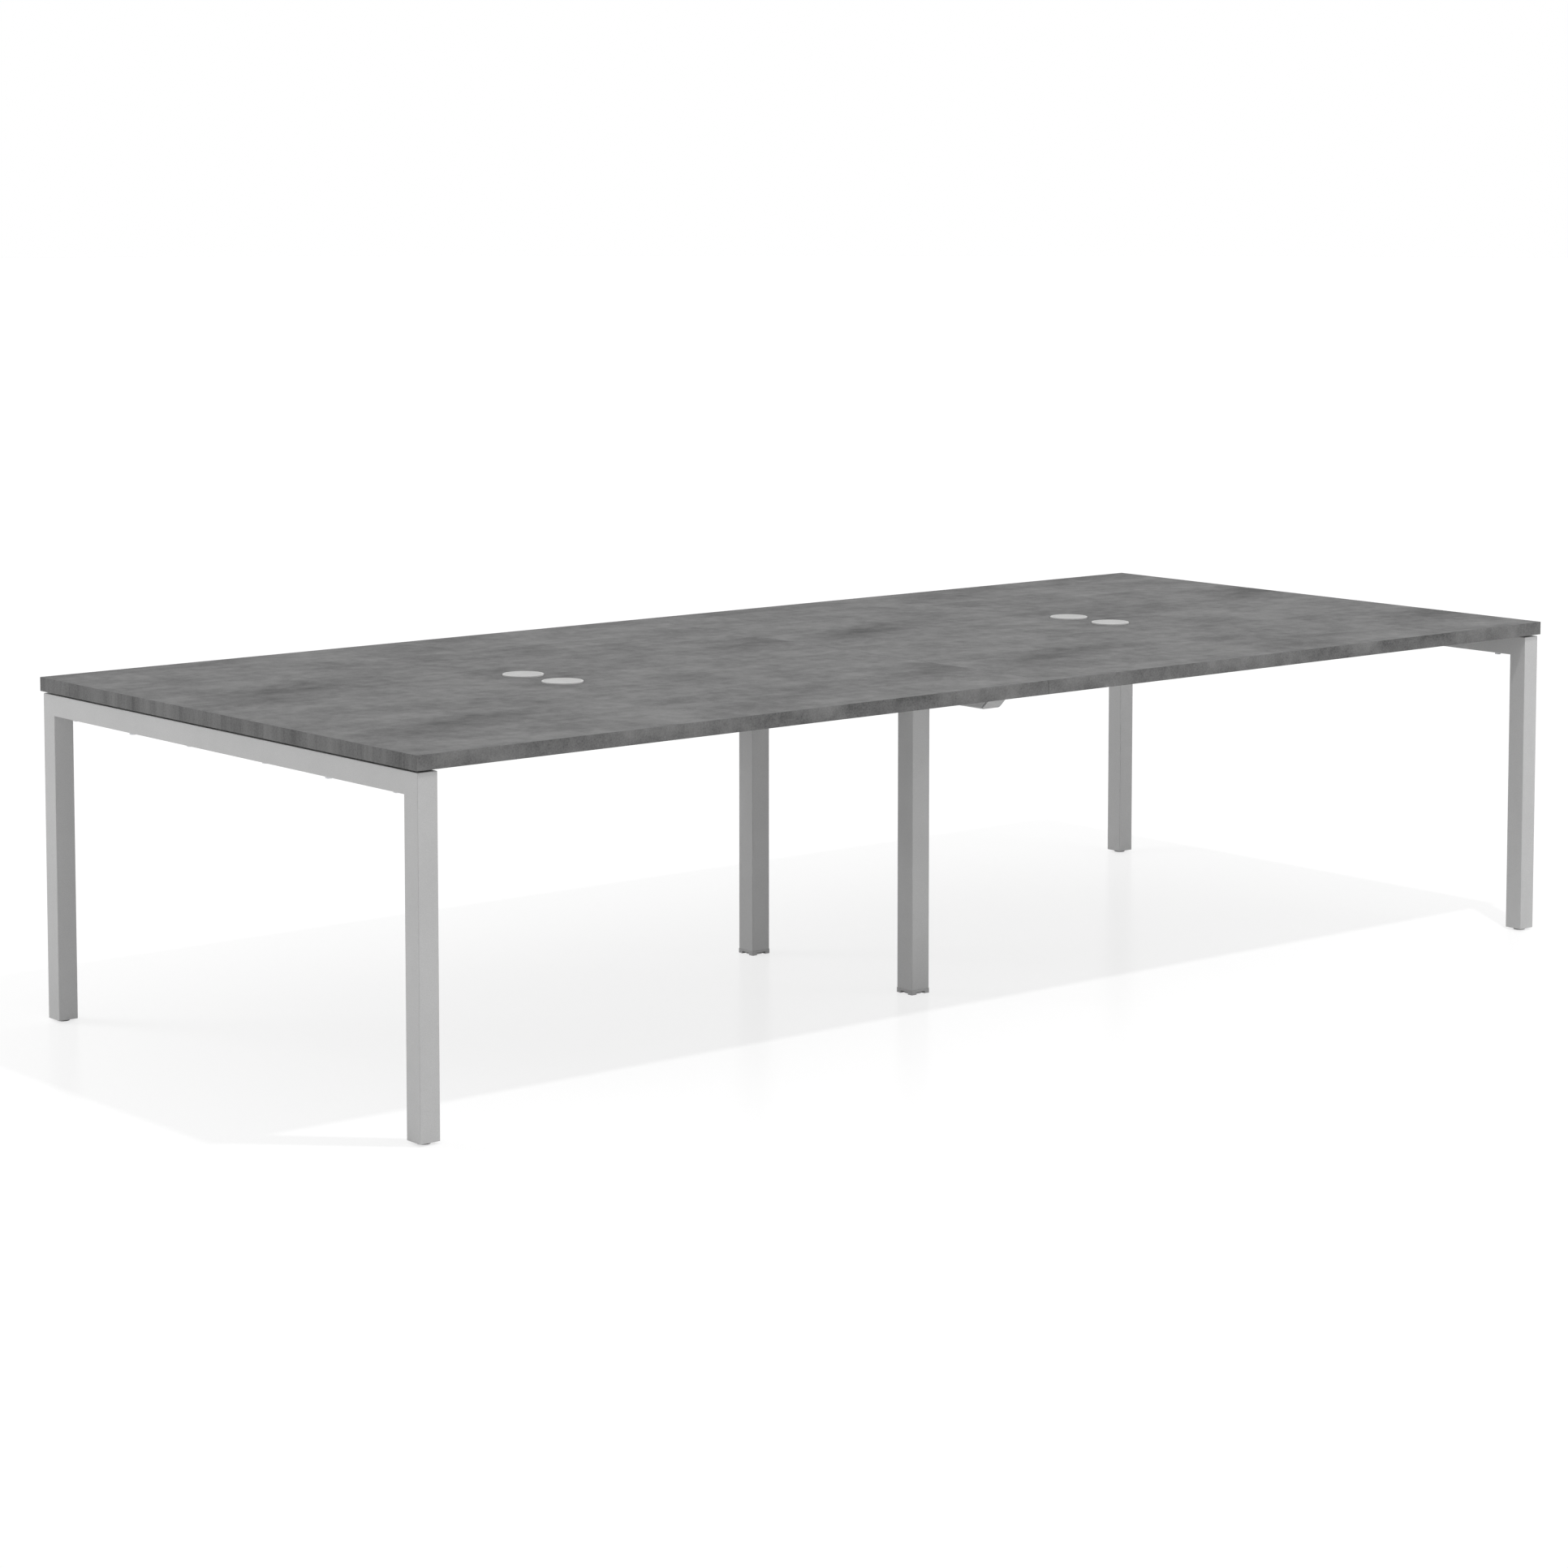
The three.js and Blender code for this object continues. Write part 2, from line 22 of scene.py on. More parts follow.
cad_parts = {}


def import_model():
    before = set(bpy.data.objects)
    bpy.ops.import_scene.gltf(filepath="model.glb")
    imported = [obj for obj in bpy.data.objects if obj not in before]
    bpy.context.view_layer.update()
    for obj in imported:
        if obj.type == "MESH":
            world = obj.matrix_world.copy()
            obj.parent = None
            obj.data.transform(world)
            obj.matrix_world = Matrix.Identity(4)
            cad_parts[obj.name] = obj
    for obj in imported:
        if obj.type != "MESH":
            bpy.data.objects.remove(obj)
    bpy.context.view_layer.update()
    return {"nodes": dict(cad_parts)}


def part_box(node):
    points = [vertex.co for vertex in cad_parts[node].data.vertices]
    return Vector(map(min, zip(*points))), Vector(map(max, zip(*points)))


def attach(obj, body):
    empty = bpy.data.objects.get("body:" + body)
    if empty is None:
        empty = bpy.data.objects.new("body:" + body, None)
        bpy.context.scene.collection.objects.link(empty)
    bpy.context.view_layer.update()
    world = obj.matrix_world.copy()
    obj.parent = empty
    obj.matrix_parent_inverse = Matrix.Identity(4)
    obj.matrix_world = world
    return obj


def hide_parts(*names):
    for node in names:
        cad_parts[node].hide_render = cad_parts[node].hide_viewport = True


LOG = logging.getLogger("conference_table")
TABLE_BODY = "table"

MM = 0.001
FULL_TURN = 2.0 * math.pi
DOWN = Vector((0.0, 0.0, -1.0))
WHITE = (1.0, 1.0, 1.0, 1.0)
WHOLE_RANGE = (0.0, 1.0)
MEAN_NOISE = 0.5

# Points closer than the first are merged, and lengths closer than the second count as the same
MERGE_DISTANCE = 1e-6
TOUCHING = 1e-5
# Cosine over which two directions count as the same
STRAIGHT = 0.999
# Angles between faces: under the first they are one flat face, over the second the edge between them is
# shaded sharp, and over the third it is rounded
FLAT_ANGLE = math.radians(1.0)
SMOOTH_ANGLE = math.radians(50.0)
SHARP_ANGLE = math.radians(60.0)

Colour = tuple[float, float, float]
Place = tuple[float, float, float]
Span = tuple[float, float]
Mesh = bmesh.types.BMesh
Edge = bmesh.types.BMEdge
Face = bmesh.types.BMFace
Node = bpy.types.Node
Socket = bpy.types.NodeSocket
Value = Union[Socket, float, tuple]


class End(Enum):
    """The two ends of the table."""

    LEFT = "left"
    RIGHT = "right"


class Side(Enum):
    """The two long sides of the table."""

    FRONT = "front"
    REAR = "rear"

    @property
    def sign(self) -> int:
        """Sign of Y on this side."""
        return -1 if self is Side.FRONT else 1


class Slot(Enum):
    """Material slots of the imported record."""

    CONCRETE = "concrete_board"
    SILVER = "silver_frame"
    GLIDE = "glide_plastic"
    CAP = "cap_plastic"
    BLACK = "black_plastic"
    GROMMET = "grommet_plastic"
    ZINC = "zinc_steel"


class Axis(Enum):
    """Axes of the frame, by their place in a vector."""

    X = 0
    Y = 1
    Z = 2


CORNERS = tuple(f"{end.value}_{side.value}" for end in End for side in Side)


# Mesh tools


def near(value: float, level: float) -> bool:
    """Whether two lengths are the same but for rounding."""
    return abs(value - level) < TOUCHING


@dataclass(frozen=True)
class Box:
    """A box along the axes of the frame."""

    low: Vector
    high: Vector

    @classmethod
    def of(cls, node: str) -> Box:
        """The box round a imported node."""
        low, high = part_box(node)
        return cls(Vector(low), Vector(high))

    @property
    def centre(self) -> Vector:
        """Middle of the box."""
        return (self.low + self.high) / 2

    @property
    def radius(self) -> float:
        """Half the width along X, which is the radius of a round node."""
        return (self.high.x - self.low.x) / 2

    def faces_at(self, point: Vector) -> set[tuple[Axis, int]]:
        """Faces of the box that a point lies on.

        Args:
            point: A point of the mesh.

        Returns:
            The axis that each face lies across, with 0 for its low end and 1 for its high end.
        """
        return {
            (axis, index)
            for axis in Axis
            for index, corner in enumerate((self.low, self.high))
            if near(point[axis.value], corner[axis.value])
        }


def block(box: Box) -> Mesh:
    """A plain block.

    Args:
        box: Box that the block fills.

    Returns:
        A new mesh of six faces.
    """
    mesh = bmesh.new()
    bmesh.ops.create_cube(mesh, size=1.0)
    bmesh.ops.scale(mesh, vec=box.high - box.low, verts=mesh.verts)
    bmesh.ops.translate(mesh, vec=box.centre, verts=mesh.verts)
    return mesh


def turned(profile: Sequence[Span], steps: int, closed: bool = False) -> Mesh:
    """A turned piece about the Z axis.

    Args:
        profile: Radius and level of each point of the section.
        steps: Number of facets round the axis.
        closed: Whether the section returns to its first point, as on a ring.

    Returns:
        A new closed mesh whose faces point outwards.
    """
    mesh = bmesh.new()
    points = [mesh.verts.new((radius, 0.0, level)) for radius, level in profile]
    pairs = list(zip(points, points[1:]))
    if closed:
        pairs.append((points[-1], points[0]))
    lines = [mesh.edges.new(pair) for pair in pairs]
    bmesh.ops.spin(
        mesh,
        geom=points + lines,
        cent=(0.0, 0.0, 0.0),
        axis=(0.0, 0.0, 1.0),
        dvec=(0.0, 0.0, 0.0),
        angle=FULL_TURN,
        steps=steps,
        use_merge=True,
        use_duplicate=False,
    )
    bmesh.ops.remove_doubles(mesh, verts=mesh.verts, dist=MERGE_DISTANCE)
    bmesh.ops.dissolve_degenerate(mesh, dist=MERGE_DISTANCE, edges=mesh.edges)
    bmesh.ops.recalc_face_normals(mesh, faces=mesh.faces)
    return mesh


def on_axis_of(mesh: Mesh, box: Box) -> Mesh:
    """Moves a piece that was turned about the Z axis onto the upright axis of a box."""
    bmesh.ops.translate(mesh, vec=Vector((box.centre.x, box.centre.y, 0.0)), verts=mesh.verts)
    return mesh


def rounded(mesh: Mesh, edges: Iterable[Edge], radius: float, segments: int = 2) -> Mesh:
    """Rounds some edges of a mesh.

    Args:
        mesh: Mesh to change.
        edges: Edges to round.
        radius: Radius of the round.
        segments: Facets across the round.

    Returns:
        The same mesh.
    """
    bmesh.ops.bevel(
        mesh,
        geom=list(edges),
        offset=radius,
        offset_type="OFFSET",
        segments=segments,
        profile=0.5,
        affect="EDGES",
        material=-1,
        clamp_overlap=True,
    )
    return mesh


def edges_along(mesh: Mesh, axis: Axis) -> list[Edge]:
    """Edges that run along one axis.

    Args:
        mesh: Mesh to search.
        axis: Axis that they run along.

    Returns:
        The edges found.
    """
    picked = []
    for edge in mesh.edges:
        start, stop = (vert.co for vert in edge.verts)
        if abs((stop - start).normalized()[axis.value]) > STRAIGHT:
            picked.append(edge)
    return picked


def sharp_edges(mesh: Mesh, angle: float = SHARP_ANGLE) -> list[Edge]:
    """Outer edges whose two faces meet at more than an angle.

    Args:
        mesh: Mesh to search.
        angle: Least angle between the faces.

    Returns:
        The edges found.
    """
    return [
        edge
        for edge in mesh.edges
        if len(edge.link_faces) == 2 and edge.is_convex and edge.calc_face_angle(0.0) > angle
    ]


def lies_at(edge: Edge, level: float) -> bool:
    """Whether an edge lies level at a height."""
    return all(near(vert.co.z, level) for vert in edge.verts)


def ring_edges(mesh: Mesh, radius: float, level: float) -> list[Edge]:
    """Edges of a turned mesh that lie on one circle about the Z axis.

    Args:
        mesh: Mesh to search.
        radius: Radius of the circle.
        level: Height of the circle.

    Returns:
        The edges found.
    """
    return [
        edge
        for edge in mesh.edges
        if lies_at(edge, level) and all(near(vert.co.xy.length, radius) for vert in edge.verts)
    ]


def faces_towards(mesh: Mesh, direction: Vector) -> list[Face]:
    """Faces of a mesh that look straight along a direction."""
    mesh.normal_update()
    return [face for face in mesh.faces if face.normal.dot(direction) > STRAIGHT]


def whole(mesh: Mesh) -> list:
    """All points, edges and faces of a mesh."""
    return [*mesh.verts, *mesh.edges, *mesh.faces]


def cut_away(mesh: Mesh, point: Vector, direction: Vector) -> Face:
    """Cuts off all that lies beyond a plane and closes the cut.

    Args:
        mesh: Closed mesh to cut.
        point: A point on the plane.
        direction: Side of the plane that is cut off.

    Returns:
        The face that closes the cut.
    """
    bmesh.ops.bisect_plane(
        mesh,
        geom=whole(mesh),
        dist=MERGE_DISTANCE,
        plane_co=point,
        plane_no=direction,
        clear_outer=True,
    )
    rim = [edge for edge in mesh.edges if edge.is_boundary]
    made = bmesh.ops.contextual_create(mesh, geom=rim)
    bmesh.ops.recalc_face_normals(mesh, faces=mesh.faces)
    return made["faces"][0]


def pushed(mesh: Mesh, face: Face, step: Vector) -> None:
    """Pushes a face in or out and draws walls to it.

    Args:
        mesh: Mesh to change.
        face: Face to push.
        step: How far, and which way.
    """
    made = bmesh.ops.extrude_face_region(mesh, geom=[face])
    points = [item for item in made["geom"] if isinstance(item, bmesh.types.BMVert)]
    bmesh.ops.translate(mesh, vec=step, verts=points)
    if face.is_valid:
        bmesh.ops.delete(mesh, geom=[face], context="FACES_ONLY")


def hollow_end(mesh: Mesh, face: Face, wall: float, depth: float) -> None:
    """Opens the end of a tube: leaves its wall and sinks the rest.

    Args:
        mesh: Mesh of the tube.
        face: End face of the tube.
        wall: Thickness of the wall.
        depth: How far the opening goes in.
    """
    inward = -face.normal.normalized()
    bmesh.ops.inset_region(mesh, faces=[face], thickness=wall, use_even_offset=True)
    pushed(mesh, face, inward * depth)


def mesh_data(name: str, mesh: Mesh) -> bpy.types.Mesh:
    """Mesh data made of a finished mesh.

    Args:
        name: Name of the data.
        mesh: Finished mesh, which is freed.

    Returns:
        The new data.
    """
    data = bpy.data.meshes.new(name)
    mesh.to_mesh(data)
    mesh.free()
    return data


def joined(mesh: Mesh, other: Mesh) -> Mesh:
    """Adds the shells of another mesh to a mesh.

    Args:
        mesh: Mesh to change.
        other: Mesh that is added, and freed.

    Returns:
        The first mesh.
    """
    carrier = mesh_data("carrier", other)
    mesh.from_mesh(carrier)
    bpy.data.meshes.remove(carrier)
    return mesh


def in_scene(name: str, data: bpy.types.ID) -> bpy.types.Object:
    """A new object in the scene.

    Args:
        name: Name of the object.
        data: Mesh, lamp or camera that it holds.

    Returns:
        The object.
    """
    item = bpy.data.objects.new(name, data)
    bpy.context.scene.collection.objects.link(item)
    return item


# Shader tools


def grey(level: float) -> Colour:
    """A neutral colour."""
    return (level, level, level)


@dataclass
class Sketch:
    """Places and links the nodes of one node tree."""

    tree: bpy.types.NodeTree

    def add(self, kind: str, inputs: dict[str, Value], **settings: object) -> Node:
        """Places a node.

        Args:
            kind: Node type.
            inputs: A value or a source for each socket, by the socket's identifier or name.
            settings: Properties of the node.

        Returns:
            The new node.
        """
        node = self.tree.nodes.new(kind)
        for name, value in settings.items():
            setattr(node, name, value)
        for name, value in inputs.items():
            self.feed(node, name, value)
        return node

    def feed(self, node: Node, name: str, value: Value) -> None:
        """Sets or links one input of a node.

        Args:
            node: Node to feed.
            name: Identifier of the socket, or else its name.
            value: A value, or the socket that it comes from.
        """
        socket = next((s for s in node.inputs if s.identifier == name), None) or node.inputs[name]
        if isinstance(value, Socket):
            self.tree.links.new(value, socket)
        else:
            socket.default_value = value

    def maths(self, operation: str, first: Value, second: Value = 0.0) -> Socket:
        """Result of a sum on two values."""
        inputs = {"Value": first, "Value_001": second}
        return self.add("ShaderNodeMath", inputs, operation=operation).outputs[0]

    def vectors(self, operation: str, inputs: dict[str, Value]) -> Socket:
        """Result of a sum on vectors."""
        return self.add("ShaderNodeVectorMath", inputs, operation=operation).outputs["Vector"]

    def blend(self, first: Value, second: Value, share: float) -> Socket:
        """Sum of two values, the first by its share and the second by the rest."""
        rest = self.maths("MULTIPLY", second, 1.0 - share)
        return self.maths("ADD", self.maths("MULTIPLY", first, share), rest)

    def spread(self, value: Value, old: Span, new: Span) -> Socket:
        """A value eased from an old range to a new one, and held within it.

        Args:
            value: The value.
            old: Ends of the range that it comes in.
            new: Ends of the range that it goes to.

        Returns:
            The new value.
        """
        inputs = {
            "Value": value,
            "From Min": old[0],
            "From Max": old[1],
            "To Min": new[0],
            "To Max": new[1],
        }
        return self.add("ShaderNodeMapRange", inputs, interpolation_type="SMOOTHSTEP").outputs["Result"]

    def mixed(self, factor: Value, first: Value, second: Value) -> Socket:
        """A colour between two colours.

        Args:
            factor: 0 for the first colour and 1 for the second.
            first: First colour.
            second: Second colour.

        Returns:
            The new colour.
        """
        inputs = {"Factor_Float": factor, "A_Color": first, "B_Color": second}
        node = self.add("ShaderNodeMix", inputs, data_type="RGBA", blend_type="MIX")
        return next(s for s in node.outputs if s.identifier == "Result_Color")

    def ramp(self, value: Value, places: Sequence[float], colours: Sequence[Colour]) -> Socket:
        """A colour picked along a ramp.

        Args:
            value: Where on the ramp.
            places: Place of each stop.
            colours: Colour of each stop.

        Returns:
            The colour.
        """
        node = self.add("ShaderNodeValToRGB", {"Fac": value})
        elements = node.color_ramp.elements
        while len(elements) < len(places):
            elements.new(0.5)
        for element, place, colour in zip(elements, places, colours):
            element.position = place
            element.color = (*colour, 1.0)
        return node.outputs["Color"]

    def noise(
        self, position: Value, scale: Value, detail: float, roughness: float = 0.5, result: str = "Fac"
    ) -> Socket:
        """Cloudy noise from 0 to 1.

        Args:
            position: Where it is read.
            scale: Clouds to a metre.
            detail: Number of finer layers.
            roughness: Strength of each layer against the one before.
            result: Output that is used.

        Returns:
            The noise.
        """
        inputs = {"Vector": position, "Scale": scale, "Detail": detail, "Roughness": roughness}
        return self.add("ShaderNodeTexNoise", inputs).outputs[result]

    def cells(self, position: Value, scale: Value) -> tuple[Socket, Socket]:
        """Random cells.

        Args:
            position: Where they are read.
            scale: Cells to a metre.

        Returns:
            The distance from the middle of a cell, and the cell's own random number from 0 to 1.
        """
        node = self.add("ShaderNodeTexVoronoi", {"Vector": position, "Scale": scale})
        chance = self.add("ShaderNodeSeparateColor", {"Color": node.outputs["Color"]}).outputs[0]
        return node.outputs["Distance"], chance

    def split(self, vector: Value) -> bpy.types.NodeOutputs:
        """The parts of a vector along X, Y and Z."""
        return self.add("ShaderNodeSeparateXYZ", {"Vector": vector}).outputs

    def group(self, tree: bpy.types.NodeTree, inputs: dict[str, Value]) -> Node:
        """A shader group with its own values."""
        return self.add("ShaderNodeGroup", inputs, node_tree=tree)


def new_group(
    name: str, numbers: dict[str, float], results: Sequence[str]
) -> tuple[Sketch, dict[str, Socket], Node]:
    """Starts a shader group that takes a position and some numbers.

    Args:
        name: Name of the group.
        numbers: Default of each number that the group takes.
        results: Names of the values that it puts out.

    Returns:
        The sketch of its tree, its input sockets by name, and its output node.
    """
    tree = bpy.data.node_groups.new(name, "ShaderNodeTree")
    tree.interface.new_socket("Position", in_out="INPUT", socket_type="NodeSocketVector")
    for label, default in numbers.items():
        socket = tree.interface.new_socket(label, in_out="INPUT", socket_type="NodeSocketFloat")
        socket.default_value = default
    for label in results:
        tree.interface.new_socket(label, in_out="OUTPUT", socket_type="NodeSocketFloat")
    source = tree.nodes.new("NodeGroupInput")
    return Sketch(tree), {s.name: s for s in source.outputs}, tree.nodes.new("NodeGroupOutput")


@dataclass
class Effects:
    """Shader groups that several finishes share."""

    grain: bpy.types.NodeTree = field(init=False)
    clouds: bpy.types.NodeTree = field(init=False)
    handling: bpy.types.NodeTree = field(init=False)

    def __post_init__(self) -> None:
        """Builds each group once."""
        self.grain = self.make_grain()
        self.clouds = self.make_clouds()
        self.handling = self.make_handling()

    @staticmethod
    def make_grain() -> bpy.types.NodeTree:
        """Fine grain: a speckled tone and a height for the bump.

        Returns:
            The tree of the group.
        """
        sketch, given, out = new_group("fine_grain", {"Scale": 600.0}, ("Tone", "Height"))
        soft = sketch.noise(given["Position"], given["Scale"], detail=3.0, roughness=0.65)
        _, speck = sketch.cells(given["Position"], given["Scale"])
        sketch.feed(out, "Tone", sketch.blend(speck, soft, share=0.45))
        sketch.feed(out, "Height", soft)
        return sketch.tree

    @staticmethod
    def make_clouds() -> bpy.types.NodeTree:
        """Soft cloudy patches whose edges are drawn out by a second noise.

        Returns:
            The tree of the group.
        """
        sketch, given, out = new_group("clouds", {"Scale": 3.0, "Warp": 0.1}, ("Tone",))
        place, scale = given["Position"], given["Scale"]
        bend = sketch.noise(place, scale, detail=2.0, result="Color")
        centred = sketch.vectors("SUBTRACT", {"Vector": bend, "Vector_001": grey(MEAN_NOISE)})
        push = sketch.vectors("SCALE", {"Vector": centred, "Scale": given["Warp"]})
        bent = sketch.vectors("ADD", {"Vector": place, "Vector_001": push})
        sketch.feed(out, "Tone", sketch.noise(bent, scale, detail=7.0, roughness=0.58))
        return sketch.tree

    @staticmethod
    def make_handling() -> bpy.types.NodeTree:
        """Uneven gloss left by wiping and handling.

        Returns:
            The tree of the group.
        """
        sketch, given, out = new_group("handling", {"Scale": 6.0}, ("Mask",))
        place, scale = given["Position"], given["Scale"]
        broad = sketch.noise(place, scale, detail=3.0, roughness=0.55)
        strokes = {"Vector": place, "Rotation": (0.0, 0.0, 0.4), "Scale": (1.0, 5.0, 2.0)}
        stretched = sketch.add("ShaderNodeMapping", strokes).outputs["Vector"]
        both = sketch.maths("MULTIPLY", broad, sketch.noise(stretched, scale, detail=4.0))
        sketch.feed(out, "Mask", sketch.spread(both, (0.12, 0.42), WHOLE_RANGE))
        return sketch.tree


def new_material(name: str) -> tuple[bpy.types.Material, Sketch, Node]:
    """Starts a material.

    Args:
        name: Name of the material.

    Returns:
        The material, the sketch of its tree, and its Principled shader.
    """
    material = bpy.data.materials.new(name)
    material.use_nodes = True
    tree = material.node_tree
    tree.nodes.clear()
    shader = tree.nodes.new("ShaderNodeBsdfPrincipled")
    output = tree.nodes.new("ShaderNodeOutputMaterial")
    tree.links.new(shader.outputs["BSDF"], output.inputs["Surface"])
    return material, Sketch(tree), shader


@dataclass
class Coat:
    """A material in the making, with the marks that finishes share."""

    name: str
    effects: Effects
    material: bpy.types.Material = field(init=False)
    sketch: Sketch = field(init=False)
    shader: Node = field(init=False)
    place: Socket = field(init=False)
    normal: Socket = field(init=False)

    def __post_init__(self) -> None:
        """Starts the material and finds where each point lies on the table."""
        self.material, self.sketch, self.shader = new_material(self.name)
        found = self.sketch.add("ShaderNodeTexCoord", {}).outputs
        self.place = found["Object"]
        self.normal = found["Normal"]

    def put(self, name: str, value: Value) -> None:
        """Sets or links one input of the shader."""
        self.sketch.feed(self.shader, name, value)

    def grain(self, scale: float) -> tuple[Socket, Socket]:
        """Tone and height of a fine grain."""
        results = self.sketch.group(self.effects.grain, {"Position": self.place, "Scale": scale}).outputs
        return results["Tone"], results["Height"]

    def clouds(self, scale: float, warp: float) -> Socket:
        """Tone of soft patches."""
        inputs = {"Position": self.place, "Scale": scale, "Warp": warp}
        return self.sketch.group(self.effects.clouds, inputs).outputs["Tone"]

    def wipe(self, scale: float, roughness: Span) -> None:
        """Wipes the surface to an uneven gloss between two roughnesses."""
        group = self.sketch.group(self.effects.handling, {"Position": self.place, "Scale": scale})
        self.put("Roughness", self.sketch.spread(group.outputs["Mask"], WHOLE_RANGE, roughness))

    def raise_by(self, height: Socket, distance: float, strength: float = 0.5) -> None:
        """Tilts the surface as a height would."""
        inputs = {"Height": height, "Distance": distance, "Strength": strength}
        self.put("Normal", self.sketch.add("ShaderNodeBump", inputs).outputs["Normal"])


# Finishes


@dataclass(frozen=True)
class PrintLayer:
    """One layer of clouds in a print that repeats along and across a board.

    The repeat is closed by laying the two directions round two circles in a noise of four dimensions.
    """

    cells_per_metre: Span
    detail: float
    roughness: float
    seed: float
    start: Span
    repeat: Span = (1.3, 0.6)

    def tone(self, sketch: Sketch, along: Socket, across: Socket) -> Socket:
        """Tone of the layer, from 0 to 1 about a mean of 0.5.

        Args:
            sketch: Tree that the nodes go into.
            along: Distance along the board.
            across: Distance across the board.

        Returns:
            The tone.
        """
        circles = []
        ways = zip((along, across), self.start, self.repeat, self.cells_per_metre)
        for distance, start, period, cells in ways:
            radius = cells * period / FULL_TURN
            gone = sketch.maths("SUBTRACT", distance, start)
            angle = sketch.maths("MULTIPLY", gone, FULL_TURN / period)
            for function in ("COSINE", "SINE"):
                circles.append(sketch.maths("MULTIPLY", sketch.maths(function, angle), radius))
        point = sketch.add("ShaderNodeCombineXYZ", dict(zip("XYZ", circles)))
        inputs = {
            "Vector": point.outputs["Vector"],
            "W": sketch.maths("ADD", circles[3], self.seed),
            "Scale": 1.0,
            "Detail": self.detail,
            "Roughness": self.roughness,
        }
        return sketch.add("ShaderNodeTexNoise", inputs, noise_dimensions="4D").outputs["Fac"]


@dataclass(frozen=True)
class EdgeBand:
    """A strip of the print on an edge: its start on the print, and its run along and across with depth."""

    start: Span
    run: Span


@dataclass(frozen=True, kw_only=True)
class Finish:
    """What every finish has: a name, a range of roughness and a fine relief."""

    name: str
    roughness: Span
    relief: float

    def material(self, effects: Effects) -> bpy.types.Material:
        """Builds the material.

        Args:
            effects: Shared shader groups.

        Returns:
            The new material.
        """
        coat = Coat(self.name, effects)
        self.dress(coat)
        return coat.material

    def dress(self, coat: Coat) -> None:
        """Lays the finish on a material.

        Args:
            coat: Material in the making.
        """
        raise NotImplementedError


